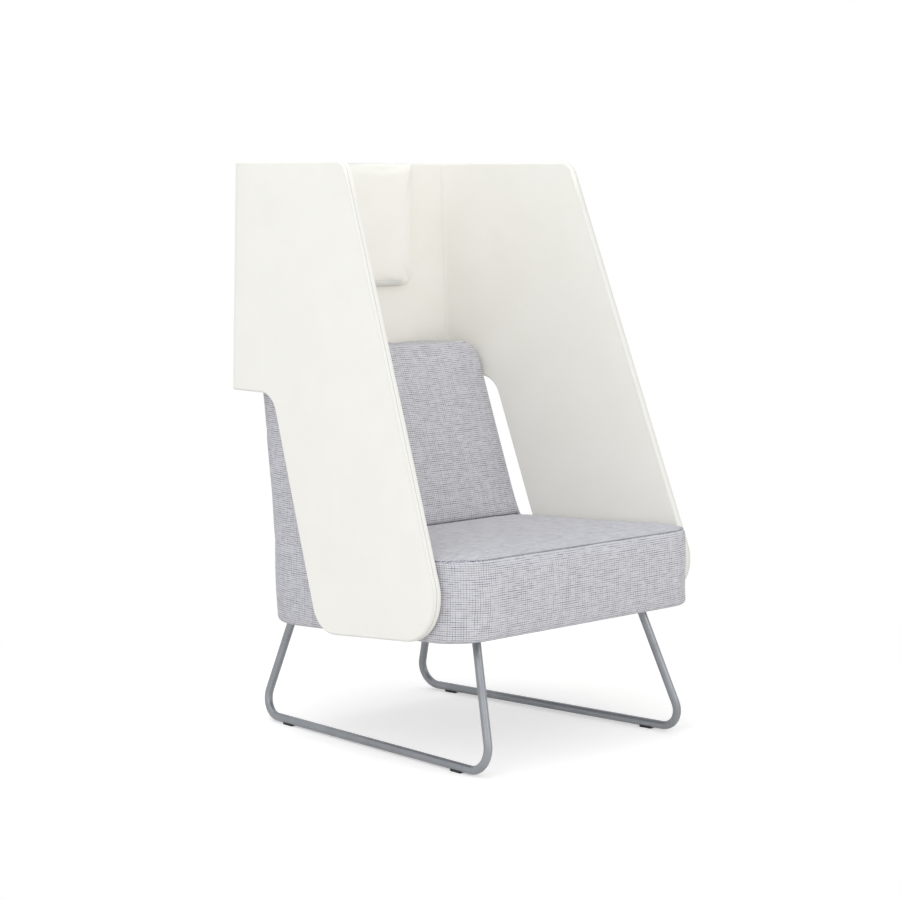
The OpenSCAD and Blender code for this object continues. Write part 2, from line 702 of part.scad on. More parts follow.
// Foam blocks
function back_meet(drop) = crease_rear - (drop * back_slope + fit) / (1 + seat_slope * back_slope);
foam_low = foam_drop - 2 * strap_t - fit;    // from the seam plane down to the foam's underside
module seat_foam() {
    top = seat_cover_top + fit;
    color(colour_foam) intersection() {
        linear_extrude(seat_top_z) polygon(cavity_plan(fit));
        side_slab([seat_line(-far, foam_low), seat_line(back_meet(foam_low), foam_low),
            seat_line(back_meet(top), top), seat_line(-far, top)]);
    }
}
module front_foam() {
    color(colour_foam) difference() {
        seat_room(fit, dust_t + fit, foam_low + fit);
        translate([-far, front_rail_front - fit, 0]) cube(2 * far);
    }
}
back_foam_low = crease_z - back_face_drop;
module back_foam() {
    depth = back_face_drop - strap_back_t - fit;
    color(colour_foam) intersection() {
        back_room(fit);
        side_slab([[back_front_at(back_foam_low), back_foam_low],
            [back_front_at(back_foam_low) + depth, back_foam_low],
            [back_front_at(back_top_z) + depth, back_top_z], [back_front_at(back_top_z), back_top_z]]);
    }
}

// Padded fabric covers of the body, each with its own shape outside and its room inside
low_edge_r = 12;         // rounding of the body's lower edge
low_edge_shares = [[0, 1], [0.21, 0.38], [0.75, 0.05]];
side_swell = 1;          // how far the seat's sides swell at half height
swell_share = 0.45;
seam_w = 3.2;            // depth of the drawn-in seam round the seat's top
seam_shares = [[-4.5, 0], [-1.1, 0.3], [-0.2, 1], [0.3, 1]];
crown_reach = 150;       // from the seam in to the flat middle of the crown
crown_shares = [[0.28, 0.055], [0.6, 0.27], [0.87, 0.6], [1, 1]];
rear_inset_share = 0.3;
joint_r = 3;             // rounding where the seat and the back meet
// A ring of the seat's form: a share t of its height, a rise over that plane and an inset
function seat_ring(t, rise, in) =
    let (level = mix(under_z, seat_top_z, t) + rise, slope = mix(under_slope, seat_slope, t))
    let (rear = (crease_rear + (level - slope * seat_front - crease_z) * back_slope - fit)
        / (1 + slope * back_slope))
    let (half = plan_half(in - seat_front, rear - max(0, in) * rear_inset_share, side_off + in, level,
        max(seat_corner_r - in, low_edge_r), joint_r, joint_r, round_steps, 2))
    [for (p = full_plan(half)) let (z = level - slope * (p.y + seat_front))
        [p.x * (1 + (level - z) * lean / half_w(p.y, level)), p.y, z]];
module seat_form() {
    skin(concat(
        [for (s = low_edge_shares) seat_ring(0, s[0] * low_edge_r, s[1] * low_edge_r)],
        [seat_ring(swell_share, 0, -side_swell)],
        [for (s = seam_shares) seat_ring(1, s[0] * seam_w, s[1] * seam_w)],
        [for (s = crown_shares) seat_ring(1, s[0] * seat_crown, s[1] * crown_reach)]));
}
module seat_cover() {
    color(colour_grey) difference() {
        seat_form();
        seat_room(0, -low_edge_r, seat_cover_top);
        both() wing_bolt_places(spacer_d + bore_gap, 0, rail_off);
    }
}

front_edge_r = 7;        // rounding of the backrest's upright front edges
front_edge_rise = 60;    // height over which it grows from the joint
back_edge_r = 10;        // rounding of its top edge
back_low_shares = [0.08, 0.3, 0.57, 0.845];
back_top_shares = [1, 0.66, 0.4, 0.22, 0.1, 0.03, 0];
crown_from_share = 0.25;
function round_in(h, r) = h >= r ? 0 : r * (1 - sqrt(1 - pow(1 - h / r, 2)));
function back_half(front, rear, in, z, rf) =
    plan_half(front, rear, side_off + in, z, rf, back_corner_r,
        min(back_corner_r, rear - front - rf - joint_r), 3, round_steps);
function low_back_ring(rise, in) =
    let (front = (crease_rear + (under_z + rise - under_slope * seat_front - crease_z) * back_slope)
        / (1 + under_slope * back_slope))
    [for (p = full_plan(back_half(front, back_low_rear - in, in, back_low_z + rise, joint_r)))
        [p.x, p.y, under_at(p.y) + rise]];
function back_ring(z, in, edge) =
    let (front = back_front_at(z) + edge, x_edge = half_w(front, z) - side_off - in)
    let (rf = mix(joint_r, front_edge_r, min(1, max(0, (z - crease_z) / front_edge_rise))))
    let (up = min(1, max(0, (z - crease_z) / (back_top_z - crease_z))))
    let (bulge = back_crown * 4 * (up + crown_from_share * up * (1 - up)) * (1 - up))
    [for (p = full_plan(back_half(front, back_rear_at(z) - edge, in, z, rf)))
        [p.x, p.y < front + joint_r / 10 ? p.y - bulge * (1 - pow(p.x / x_edge, 2)) : p.y, z]];
module back_form() {
    skin(concat(
        [for (s = low_edge_shares) low_back_ring(s[0] * low_edge_r, s[1] * low_edge_r)],
        [for (s = back_low_shares) back_ring(mix(back_low_z, back_top_z, s), 0, 0)],
        [for (s = back_top_shares) let (h = s * back_top_corner_r)
            back_ring(back_top_z - h, round_in(h, back_top_corner_r), round_in(h, back_edge_r))]));
}
module back_cover() {
    color(colour_grey) difference() {
        back_form();
        back_room(0);
        seat_room(0, -low_edge_r, foam_low);
        rear_rods(spacer_d + bore_gap, 0, rear_y - top_rail_front);
    }
}
module dust_cover() {
    color(colour_black) difference() {
        intersection() {
            linear_extrude(seat_top_z) polygon(cavity_plan(fit));
            side_slab([under_line(-far, 0), under_line(far, 0), under_line(far, dust_t),
                under_line(-far, dust_t)]);
        }
        both() front_bolt_places() base_bore();
        both() rear_bolt_places() base_bore();
    }
}

// Screen boards. The wing's corners, in y and z, from the rear top round to the step
wing_corners = [[rear_y, overall_h], [-wing_top_front, overall_h], [-wing_low_front, wing_low_front_z],
    [wing_low_rear, wing_low_rear_z], [neck_rear, step_z], [rear_y, step_z]];
wing_radii = [0, wing_top_r, wing_low_front_r, wing_low_rear_r, -neck_r, 0];
function wing_round(k, in, n) =
    let (p = [for (j = [k - 1:k + 1]) j < 1 || j > 4
        ? wing_corners[j] + [0, j < 1 ? -in : in]
        : inset(wing_corners[j - 1], wing_corners[j], wing_corners[j + 1], in)])
    rounded(p[0], p[1], p[2], abs(wing_radii[k] - in), n);
board_end = 25;          // from the screen's rear face forward to the end of a wing board
rear_board_gap = 25;     // from the wing's outer face in to the end of the rear board
board_depth = (screen_t - screen_board_t) / 2;
board_low = step_z + screen_rim;
board_high = overall_h - screen_rim;
function board_outline(in) = concat(
    [[rear_y - board_end, overall_h - in]],
    wing_round(1, in, round_steps), wing_round(2, in, round_steps), wing_round(3, in, round_steps),
    wing_round(4, in, round_steps), [[rear_y - board_end, step_z + in]]);
module wing_board_blank(gap) {
    wing_plate(board_outline(screen_rim - gap), board_depth, insert_depth);
}
module wing_board() {
    color(colour_wood) difference() {
        wing_board_blank(0);
        wing_bolt_places(insert_d + bore_gap, insert_depth - insert_len, insert_depth + cut);
        wing_bracket_screws(bore_gap);
    }
}
module left_wing_board() {
    left() wing_board();
}
module right_wing_board() {
    wing_board();
}
module rear_board_blank(gap) {
    a = half_w(rear_y, board_low) - rear_board_gap + gap;
    b = half_w(rear_y, board_high) - rear_board_gap + gap;
    translate([0, rear_y - board_depth, 0]) rotate([90, 0, 0]) linear_extrude(screen_board_t)
        polygon([[-a, board_low - gap], [a, board_low - gap], [b, board_high + gap], [-b, board_high + gap]]);
}
module rear_board() {
    color(colour_wood) difference() {
        rear_board_blank(0);
        rear_rods(insert_d + bore_gap, insert_depth - insert_len, insert_depth + cut);
        both() rear_bracket_screws(bore_gap);
        headrest_clip_places(headrest_screw_d + bore_gap, headrest_screw_len + bore_gap, cut);
    }
}

// Steel angles that join the boards inside the rear corners, with countersunk screws
bracket_t = 2.5;
bracket_h = 60;
bracket_leg = 60;        // reach of a leg past the corner's inner face
bracket_shares = [0.1, 0.5, 0.9];            // their heights, as shares of the step's height
bracket_screw_d = 4.5;
bracket_screw_head_d = 8.5;
bracket_screw_len = 13;
function bracket_z(s) = mix(board_low, board_high, s) - overall_h;
module angle_brackets(gap) {
    low = insert_depth + bracket_t + gap;
    for (s = bracket_shares) {
        z = bracket_z(s) - bracket_h / 2 - gap;
        wing_frame() translate([-low, -low - bracket_leg, z])
            cube([bracket_t + 2 * gap, bracket_leg + bracket_t + 2 * gap, bracket_h + 2 * gap]);
        corner_frame() translate([-low - bracket_leg, -low, z])
            cube([bracket_leg + bracket_t + 2 * gap, bracket_t + 2 * gap, bracket_h + 2 * gap]);
    }
}
module bracket_screw(gap) {
    cylinder(d1 = bracket_screw_head_d + gap, d2 = bracket_screw_d + gap, h = bracket_t);
    cylinder(d = bracket_screw_d + gap, h = bracket_screw_len + gap);
}
screw_reach_shares = [0.4, 0.8];             // places of the screws along a bracket's leg
module wing_bracket_screws(gap) {
    for (s = bracket_shares, r = screw_reach_shares) wing_frame()
        translate([-insert_depth - bracket_t, -insert_depth - r * bracket_leg - bracket_t, bracket_z(s)])
            rotate([0, 90, 0]) bracket_screw(gap);
}
module rear_bracket_screws(gap) {
    for (s = bracket_shares, r = screw_reach_shares) corner_frame()
        translate([-insert_depth - r * bracket_leg - bracket_t, -insert_depth - bracket_t, bracket_z(s)])
            rotate([-90, 0, 0]) bracket_screw(gap);
}
module corner_brackets() {
    color(colour_steel) both() difference() {
        angle_brackets(0);
        wing_bracket_screws(bore_gap);
        rear_bracket_screws(bore_gap);
    }
}
module bracket_screws() {
    color(colour_steel) both() {
        wing_bracket_screws(0);
        rear_bracket_screws(0);
    }
}

// Padded fabric covers of the screen, skinned over layers from the inner to the outer face.
// A layer has its depth behind the outer face and its inset at the rim.
rim_steps = 3;
corner_steps = 5;
inner_corner_r = 2;      // the crease inside the rear corners
seam_gap = 0.15;         // half the gap at the seams on the rear face
seam_in_share = 0.25;
line_shares = [0.25, 0.5, 0.75];
top_line_shares = [0.3, 0.65];
rim_turns = [for (k = [0:rim_steps]) 90 * k / rim_steps];
screen_layers = concat(
    [for (k = [rim_steps:-1:0]) screen_edge_r * [sin(rim_turns[k]) - 1, 1 - cos(rim_turns[k])] + [screen_t, 0]],
    [for (a = rim_turns) screen_edge_r * [1 - sin(a), 1 - cos(a)]]);
function between(a, b, shares) = [for (s = shares) mix(a, b, s)];
function wing_point(p, d) = [half_w(p.x, p.y) - d * cos(flare_a), p.x - d * sin(flare_a), p.y];
function corner_point(t, z, d) =
    let (r = mix(screen_corner_r, inner_corner_r, d / screen_t), y = rear_y - d - r)
    [half_w(y, z) - (d + r) / cos(flare_a) + r * cos(t), y + r * sin(t), z];
function seam_x(z, in) = half_w(rear_y, z) - wrap_w + in * seam_in_share;
function wing_layer(d, in) =
    let (top = overall_h - in, low = step_z + in)
    let (a = wing_round(1, in, corner_steps), b = wing_round(2, in, 8), c = wing_round(3, in, 7))
    let (e = wing_round(4, in, 8), turns = [for (k = [0:corner_steps]) mix(90, flare_a, k / corner_steps)])
    let (flat = concat(between([rear_y - screen_corner_r, top], a[0], top_line_shares), a,
        between(a[corner_steps], b[0], line_shares), b, c, between(c[7], e[0], line_shares), e))
    concat([[seam_x(top, in) + seam_gap, rear_y - d, top]],
        [for (t = turns) corner_point(t, top, d)],
        [for (p = flat) wing_point(p, d)],
        [for (k = [corner_steps:-1:0]) corner_point(turns[k], low, d)],
        [[seam_x(low, in) + seam_gap, rear_y - d, low]]);
module wing_cover() {
    color(colour_cream) difference() {
        thin_skin([for (l = screen_layers) wing_layer(l[0], l[1])]);
        wing_board_blank(fit);
        rear_board_blank(fit);
        angle_brackets(fit);
        wing_bolt_places(spacer_d + bore_gap, insert_depth - cut, side_off);
    }
}
module left_wing_cover() {
    left() wing_cover();
}
module right_wing_cover() {
    wing_cover();
}
panel_shares = [-1, -0.6, -0.2, 0.2, 0.6, 1];
function panel_layer(d, in) =
    let (top = overall_h - in, low = step_z + in)
    let (a = seam_x(top, -in) - seam_gap, b = seam_x(low, -in) - seam_gap)
    concat([for (s = panel_shares) [s * a, rear_y - d, top]],
        [for (s = panel_shares) [-s * b, rear_y - d, low]]);
module rear_panel_cover() {
    color(colour_cream) difference() {
        thin_skin([for (l = screen_layers) panel_layer(l[0], l[1])]);
        rear_board_blank(fit);
        both() angle_brackets(fit);
        rear_rods(spacer_d + bore_gap, insert_depth - cut, screen_t + cut);
        headrest_clip_places(headrest_clip_d + bore_gap, cut, headrest_clip_len + cut);
    }
}

// Spacers, bolts and threaded inserts that carry the screen on the body
module screen_spacers() {
    rear_end = rear_y - top_rail_rear;
    color(colour_steel) difference() {
        union() {
            both() wing_bolt_places(spacer_d, insert_depth, rail_off);
            rear_rods(spacer_d, insert_depth, rear_end);
        }
        both() wing_bolt_places(screen_bolt_d + bore_gap, insert_depth - cut, rail_off + cut);
        rear_rods(screen_bolt_d + bore_gap, insert_depth - cut, rear_end + cut);
    }
}
bolt_tip = insert_depth - insert_len + cut;
module screen_bolts() {
    rear_end = rear_y - top_rail_front;
    color(colour_steel) {
        both() {
            wing_bolt_places(screen_bolt_d, bolt_tip, side_rail_in + cut);
            wing_bolt_places(screen_head_d, side_rail_in, side_rail_in + screen_head_h);
        }
        rear_rods(screen_bolt_d, bolt_tip, rear_end + cut);
        rear_rods(screen_head_d, rear_end, rear_end + screen_head_h);
    }
}
module screen_inserts() {
    low = insert_depth - insert_len;
    color(colour_steel) difference() {
        union() {
            both() wing_bolt_places(insert_d, low, insert_depth);
            rear_rods(insert_d, low, insert_depth);
        }
        both() wing_bolt_places(screen_bolt_d + bore_gap, low - cut, insert_depth + cut);
        rear_rods(screen_bolt_d + bore_gap, low - cut, insert_depth + cut);
    }
}

// Headrest: a padded cover round a thin board, held to the rear board by four clips
headrest_edge_r = 14;    // rounding of the pad's front edges
headrest_back_r = 3;
headrest_top_r = 8;
headrest_crown = 3;
headrest_skin = 2;       // cover behind the headrest's board
headrest_board_t = 8;
headrest_rim = 16;       // from the pad's edge in to the board's edge
headrest_clip_d = 18;
headrest_screw_d = 5;
headrest_screw_len = 9;
headrest_top_share = 0.35;
headrest_clip_len = board_depth + fit + headrest_skin;
headrest_clip_shares = [0.22, 0.78];
headrest_crown_shares = [[0.7, 0.35], [1, 0.8]];
headrest_y = rear_y - screen_t - fit;
headrest_h = headrest_share * (overall_h - back_top_z);
headrest_low = overall_h - headrest_h;
function headrest_outline(in, top) =
    let (w = headrest_w / 2 - in, low = headrest_low + in, high = overall_h - in * top)
    let (r = max(headrest_corner_r - in, headrest_back_r), s = headrest_top_r)
    concat(rounded([-w, low], [w, low], [w, high], r, round_steps),
        rounded([w, low], [w, high], [-w, high], s, rim_steps),
        rounded([w, high], [-w, high], [-w, low], s, rim_steps),
        rounded([-w, high], [-w, low], [w, low], r, round_steps));
headrest_layers = concat(
    [[0, headrest_back_r], [headrest_back_r, 0]],
    [for (a = rim_turns) headrest_edge_r * [sin(a) - 1, 1 - cos(a)] + [headrest_t, 0]],
    [for (s = headrest_crown_shares)
        [headrest_t + s[0] * headrest_crown, mix(headrest_edge_r, headrest_h / 2, s[1])]]);
module headrest_board_blank(gap) {
    translate([0, headrest_y - headrest_skin, 0]) rotate([90, 0, 0]) linear_extrude(headrest_board_t)
        polygon(headrest_outline(headrest_rim - gap, 1));
}
// Cylinders along the clips, from a depth in the rear board forward over a length
module headrest_clip_places(d, in, out) {
    for (i = [-1, 1], s = headrest_clip_shares)
        translate([i * headrest_w / 3, rear_y - insert_depth + in, headrest_low + s * headrest_h])
            rotate([90, 0, 0]) cylinder(d = d, h = in + out);
}
module headrest_board() {
    color(colour_wood) headrest_board_blank(0);
}
module headrest_pad() {
    color(colour_cream) difference() {
        skin([for (l = headrest_layers)
            [for (p = headrest_outline(l[1], headrest_top_share)) [p.x, headrest_y - l[0], p.y]]]);
        headrest_board_blank(fit);
        headrest_clip_places(headrest_clip_d + bore_gap, cut, headrest_clip_len + cut);
    }
}
module headrest_clips() {
    color(colour_steel) {
        headrest_clip_places(headrest_clip_d, 0, headrest_clip_len);
        headrest_clip_places(headrest_screw_d, headrest_screw_len, headrest_clip_len / 2);
    }
}

left_sled_loop();
right_sled_loop();
left_front_mount_plate();
left_rear_mount_plate();
right_front_mount_plate();
right_rear_mount_plate();
base_bolts();
base_inserts();
floor_glides();
left_seat_rail();
right_seat_rail();
front_seat_rail();
rear_seat_rail();
corner_blocks();
seat_frame_screws();
left_back_post();
right_back_post();
back_top_rail();
back_middle_rail();
back_bottom_rail();
back_frame_screws();
seat_long_straps();
seat_cross_straps();
back_straps();
seat_foam();
front_foam();
back_foam();
seat_cover();
back_cover();
dust_cover();
left_wing_board();
right_wing_board();
rear_board();
corner_brackets();
bracket_screws();
left_wing_cover();
right_wing_cover();
rear_panel_cover();
screen_spacers();
screen_bolts();
screen_inserts();
headrest_board();
headrest_pad();
headrest_clips();
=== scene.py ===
"""Looks of a high back acoustic lounge chair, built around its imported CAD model."""
import json
from math import acos, atan, cos, dist, exp, hypot, pi, radians, sin, sqrt, tan, tau

import bmesh
import bpy
import numpy as np
from mathutils import Euler, Matrix, Vector
from mathutils.geometry import delaunay_2d_cdt


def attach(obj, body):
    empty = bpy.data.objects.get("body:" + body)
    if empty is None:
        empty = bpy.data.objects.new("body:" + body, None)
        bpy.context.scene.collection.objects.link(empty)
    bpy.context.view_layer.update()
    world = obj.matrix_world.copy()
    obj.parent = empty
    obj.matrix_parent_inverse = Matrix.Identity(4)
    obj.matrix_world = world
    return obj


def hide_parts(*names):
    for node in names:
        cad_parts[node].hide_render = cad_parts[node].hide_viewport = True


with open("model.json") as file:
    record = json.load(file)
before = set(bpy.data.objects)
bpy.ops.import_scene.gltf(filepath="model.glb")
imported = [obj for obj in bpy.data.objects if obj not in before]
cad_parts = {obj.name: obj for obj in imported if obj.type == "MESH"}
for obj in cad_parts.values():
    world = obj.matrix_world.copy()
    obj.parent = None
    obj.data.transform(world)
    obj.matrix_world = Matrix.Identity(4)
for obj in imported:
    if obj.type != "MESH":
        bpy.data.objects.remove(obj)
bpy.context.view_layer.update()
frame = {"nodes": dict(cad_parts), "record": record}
SIDES = ((-1, "left"), (1, "right"))

# Sizes, in metres, as in the CAD source
TALL, REAR, REAR_HALF = 1.296, 0.403, 0.338
FLARE, LEAN = radians(3.89), radians(1.56)
SCREEN_T, CORNER_R, WRAP = 0.020, 0.038, 0.046
STEP_Z, BODY_GAP = 0.780, 0.004
SIDE_OFF = SCREEN_T + BODY_GAP
PANEL_FACE = REAR - SCREEN_T - 0.0003
WING = [(REAR, TALL), (-0.0126, TALL), (-0.3816, 0.298), (0.052, 0.263), (0.2316, STEP_Z), (REAR, STEP_Z)]
WING_R = [0, 0.034, 0.100, 0.075, -0.057, 0]
SEAT_FRONT, SEAT_Z, UNDER_Z = 0.394, 0.468, 0.293
SEAT_SLOPE, UNDER_SLOPE = tan(radians(2.24)), tan(radians(3.29))
BACK_TILT = radians(17.82)
CREASE, BACK_SLOPE = 0.1455, tan(BACK_TILT)
CREASE_Z = SEAT_Z - SEAT_SLOPE * (SEAT_FRONT + CREASE)
BACK_TOP, BACK_LOW_REAR = 0.868, 0.329
SEAT_R, BACK_R, BACK_TOP_R, LOW_R = 0.087, 0.172, 0.048, 0.012


def half_w(y, z):
    """Half the screen's width over its outer faces."""
    return REAR_HALF + (REAR - y) * tan(FLARE) + (TALL - z) * tan(LEAN)


def body_half(y, z, inset=0.0):
    """Half the body's width between the wings."""
    return half_w(y, z) - SIDE_OFF - inset


def mix(a, b, t):
    return a + (b - a) * t


def clamp(t):
    return min(1.0, max(0.0, t))


def smooth(t):
    t = clamp(t)
    return t * t * (3 - 2 * t)


def steps(p, q, n):
    """n points from p on towards q, which is left out."""
    return [tuple(mix(a, b, k / n) for a, b in zip(p, q)) for k in range(n)]


def quarter(n):
    """Angles of a quarter turn in n steps."""
    return [pi / 2 * k / n for k in range(n + 1)]


def distance(points, *place):
    """From a place to the nearest point of an array."""
    return sqrt(((points - np.array(place)) ** 2).sum(1).min())


def beside(line, off):
    """Points on the left of the middle of each stretch of a line, which is an array."""
    points = []
    for a, b in zip(line[:-1], line[1:]):
        way = b - a
        length = np.linalg.norm(way)
        if length > 1e-4:
            left = np.array([-way[1], way[0]]) / length
            points.append(tuple((a + b) / 2 + left * off))
    return points


# Mesh helpers
def edited(ob, change):
    """Runs a change on the object's mesh."""
    bm = bmesh.new()
    bm.from_mesh(ob.data)
    change(bm)
    bm.to_mesh(ob.data)
    bm.free()
    return ob


def piece(name, verts, faces, material, reach, weave=None):
    """A smooth mesh object in the row frame, with points within reach joined and its faces turned outwards.
    weave holds a (u, v) in metres for each corner of each face."""
    me = bpy.data.meshes.new(name)
    me.from_pydata([tuple(v) for v in verts], [], [list(f) for f in faces])
    if weave is not None:
        layer = me.uv_layers.new(name="weave")
        layer.data.foreach_set("uv", np.array([c for f in weave for c in f], np.float32).ravel())
    me.materials.append(material)
    for p in me.polygons:
        p.use_smooth = True
    ob = bpy.data.objects.new(name, me)
    bpy.context.scene.collection.objects.link(ob)

    def join(bm):
        bmesh.ops.remove_doubles(bm, verts=bm.verts, dist=reach)
        bmesh.ops.recalc_face_normals(bm, faces=bm.faces)
    return edited(ob, join)


def close_holes(ob):
    def change(bm):
        bmesh.ops.holes_fill(bm, edges=[e for e in bm.edges if len(e.link_faces) == 1], sides=0)
        bmesh.ops.recalc_face_normals(bm, faces=bm.faces)
        bmesh.ops.triangulate(bm, faces=[f for f in bm.faces if len(f.verts) > 4])
    return edited(ob, change)


def keep_creases(ob, degrees):
    """Smooth shading, except on edges that turn by more than so many degrees."""
    def change(bm):
        for e in bm.edges:
            e.smooth = len(e.link_faces) == 2 and e.calc_face_angle(0) < radians(degrees)
    return edited(ob, change)


def subdivide(ob):
    """One round of subdivision, kept in the mesh."""
    sub = ob.modifiers.new("sub", "SUBSURF")
    sub.levels = sub.render_levels = 1
    sub.boundary_smooth = "PRESERVE_CORNERS"
    deps = bpy.context.evaluated_depsgraph_get()
    fine = bpy.data.meshes.new_from_object(ob.evaluated_get(deps))
    ob.modifiers.clear()
    coarse = ob.data
    ob.data = fine
    bpy.data.meshes.remove(coarse)


# Upholstery that swells: a short cloth simulation under pressure
FRAMES, TINY = 20, 1e-9


def inflate(ob, pressure, pinned):
    """Where the simulation takes the points of a closed mesh. pinned lists the points that stay."""
    ob.vertex_groups.new(name="pin").add(pinned, 1, "REPLACE")
    cloth = ob.modifiers.new("cloth", "CLOTH")
    cloth.point_cache.frame_start, cloth.point_cache.frame_end = 1, FRAMES
    s = cloth.settings
    s.use_pressure = True
    s.uniform_pressure_force = pressure
    s.effector_weights.gravity = 0
    s.quality = 5
    s.mass = 0.3
    s.tension_stiffness = s.compression_stiffness = 25
    s.shear_stiffness = 8
    s.bending_stiffness = 1.5
    s.vertex_group_mass = "pin"
    s.pin_stiffness = 1
    for f in range(1, FRAMES + 1):
        bpy.context.scene.frame_set(f)
    deps = bpy.context.evaluated_depsgraph_get()
    done = ob.evaluated_get(deps).data
    end = np.empty(len(done.vertices) * 3)
    done.vertices.foreach_get("co", end)
    ob.modifiers.clear()
    bpy.context.scene.frame_set(1)
    return end.reshape(-1, 3)


def swell(ob, cap, pressure, pinned):
    """Inflates a closed mesh and keeps the result, with a soft limit on how far a point may move."""
    start = np.array([v.co for v in ob.data.vertices])
    end = inflate(ob, pressure, pinned)
    if len(end) != len(start) or not np.isfinite(end).all():
        return
    move = end - start
    far = np.linalg.norm(move, axis=1)
    cap = np.maximum(np.broadcast_to(cap, far.shape), TINY)
    scale = np.where(far > TINY, cap * np.tanh(far / cap) / np.maximum(far, TINY), 1)
    ob.data.vertices.foreach_set("co", (start + move * scale[:, None]).ravel())
    ob.data.update()


# Mesh builders
def patch(outline, step, place, extra=()):
    """Triangles over a closed 2-D outline and a grid inside it. place gives (xyz, uv) of a 2-D point."""
    clear_extra, clear_grid, tolerance = step * 0.12, step * 0.45, 1e-7
    outline = list(outline)
    missing = int(dist(outline[0], outline[-1]) / (1.5 * step))
    outline += steps(outline[-1], outline[0], missing + 1)[1:]
    rim = [Vector(p) for p in outline]
    a = np.array([tuple(p) for p in rim])
    b = np.roll(a, -1, 0)
    low, high = a.min(0), a.max(0)

    def far_in(q):
        """Distance of q from the outline, negative outside it."""
        way = b - a
        t = np.clip(((q - a) * way).sum(1) / np.maximum((way * way).sum(1), TINY ** 2), 0, 1)
        near = np.sqrt((((a + way * t[:, None]) - q) ** 2).sum(1).min())
        cross = (a[:, 1] > q[1]) != (b[:, 1] > q[1])
        with np.errstate(divide="ignore", invalid="ignore"):
            at = way[:, 0] * (q[1] - a[:, 1]) / way[:, 1] + a[:, 0]
        return near if (cross & (q[0] < at)).sum() % 2 else -near

    inner = [Vector(p) for p in extra if far_in(np.array(p)) > clear_extra]
    for j in range(1, int((high[1] - low[1]) / step) + 1):
        shift = 0.5 if j % 2 else 0.0
        for i in range(int((high[0] - low[0]) / step) + 1):
            q = np.array([low[0] + (i + shift) * step, low[1] + j * step])
            if far_in(q) > clear_grid:
                inner.append(Vector(q))
    points, _, tris, *_ = delaunay_2d_cdt(rim + inner, [], [list(range(len(rim)))], 1, tolerance, False)
    tris = [tuple(t) for t in tris if far_in(sum(np.array(points[i]) for i in t) / 3) > 0]
    xyz, uv = zip(*[place(p.x, p.y) for p in points])
    return list(xyz), tris, [[uv[i] for i in t] for t in tris]


def with_arc(pts, v_of, start=0.0):
    """Adds the arc length from the first point as u, and v, to points (x, y, z)."""
    out, u = [], start
    for k, p in enumerate(pts):
        if k:
            u += dist(p, pts[k - 1])
        v = v_of(p)
        out.append((*p, u, v, u, v))
    return out


class Skin:
    """Collects patches and strips of one piece."""

    def __init__(self):
        self.v, self.f, self.u = [], [], []

    def add(self, v, f, u):
        n = len(self.v)
        self.v += [tuple(p) for p in v]
        self.f += [tuple(n + i for i in t) for t in f]
        self.u += u

    def strip(self, rings, closed=False):
        """Quads between rings of (x, y, z, u, v, u2, v2). A quad starts with u2, v2 and ends on u, v."""
        m = len(rings[0])
        v = [p[:3] for r in rings for p in r]
        f, u = [], []
        for j in range(len(rings) - 1):
            for k in range(m if closed else m - 1):
                q = (k + 1) % m
                f.append((j * m + k, j * m + q, (j + 1) * m + q, (j + 1) * m + k))
                a, b, c, d = rings[j][k], rings[j][q], rings[j + 1][q], rings[j + 1][k]
                u.append([a[5:7], b[3:5], c[3:5], d[5:7]])
        self.add(v, f, u)

    def mirror(self):
        """Adds the left half of a right half: x and u change sign."""
        u = [[(-u, v) for u, v in reversed(face)] for face in self.u]
        self.add([(-x, y, z) for x, y, z in self.v], [f[::-1] for f in self.f], u)

    def make(self, name, material, reach=2e-5):
        return piece(name, self.v, self.f, material, reach, self.u)


# The upholstered body: seat and backrest, one skin without a seam at the sides.
# Steps of a ring: front, front corner, side up to the crease, side behind it, rear corner and rear
N_FRONT, N_CORNER, N_SIDE, N_BACK_SIDE, N_REAR_CORNER, N_REAR = 22, 14, 34, 8, 20, 14
# Steps of the backrest's front face and of its edge
N_FACE, N_EDGE = 26, 8
TO_CREASE, TO_EDGE, TO_REAR = N_FRONT + N_CORNER + N_SIDE, N_FACE + N_EDGE, N_BACK_SIDE + N_REAR_CORNER
# Rise and inset of the rings that turn in under the body, and of the sewn groove round the seat's top
CLOSE_RISE = 0.0035
TURN_IN = [(CLOSE_RISE, 0.034), (0.0025, 0.026), (0.0, 0.0205)]
SEAM_RINGS = [(-0.0165, 0.0), (-0.0105, 0.0003), (-0.006, 0.0012), (-0.0025, 0.0030), (-0.0010, 0.0048),
              (-0.0022, 0.0062), (-0.0012, 0.0078), (0.0010, 0.0100)]
GROOVE = -3
# How many low rings are pinned and within which reach, and the rings between which the rear welts run
PINNED_RINGS, PIN_REACH, WELT_FROM, WELT_TO = 8, 0.0012, 6, -8
SEAT_WELT_R, REAR_WELT_R, WELT_SIDES = 0.0015, 0.0014, 10
SEAM_LOW, SEAM_HIGH, JOINT_RISE = SEAM_RINGS[0][0], SEAM_RINGS[-1][0], 0.002
# Rings between the lower edge and the groove, how far they swell out and how much more they do in front
N_SKIRT, SIDE_SWELL, FRONT_SWELL = 13, 0.0014, 1.6
# The groove fades out over this length before the crease
CREASE_RUN = 0.030
# The side behind the crease or the backrest's front keeps at least this length before the rear corner
LEAST_SIDE = 0.001
# Edge radii of the backrest, the height over which the front edge grows, and where its height is taken
EDGE_FRONT_R, EDGE_TOP_R, JOINT_R, EDGE_RUN, FACE_REF = 0.007, 0.010, 0.003, 0.060, 0.06
# How far the face bulges, how far it is tucked in at the crease and over which height
BULGE, TUCK, TUCK_RUN = 0.006, 0.0035, 0.010
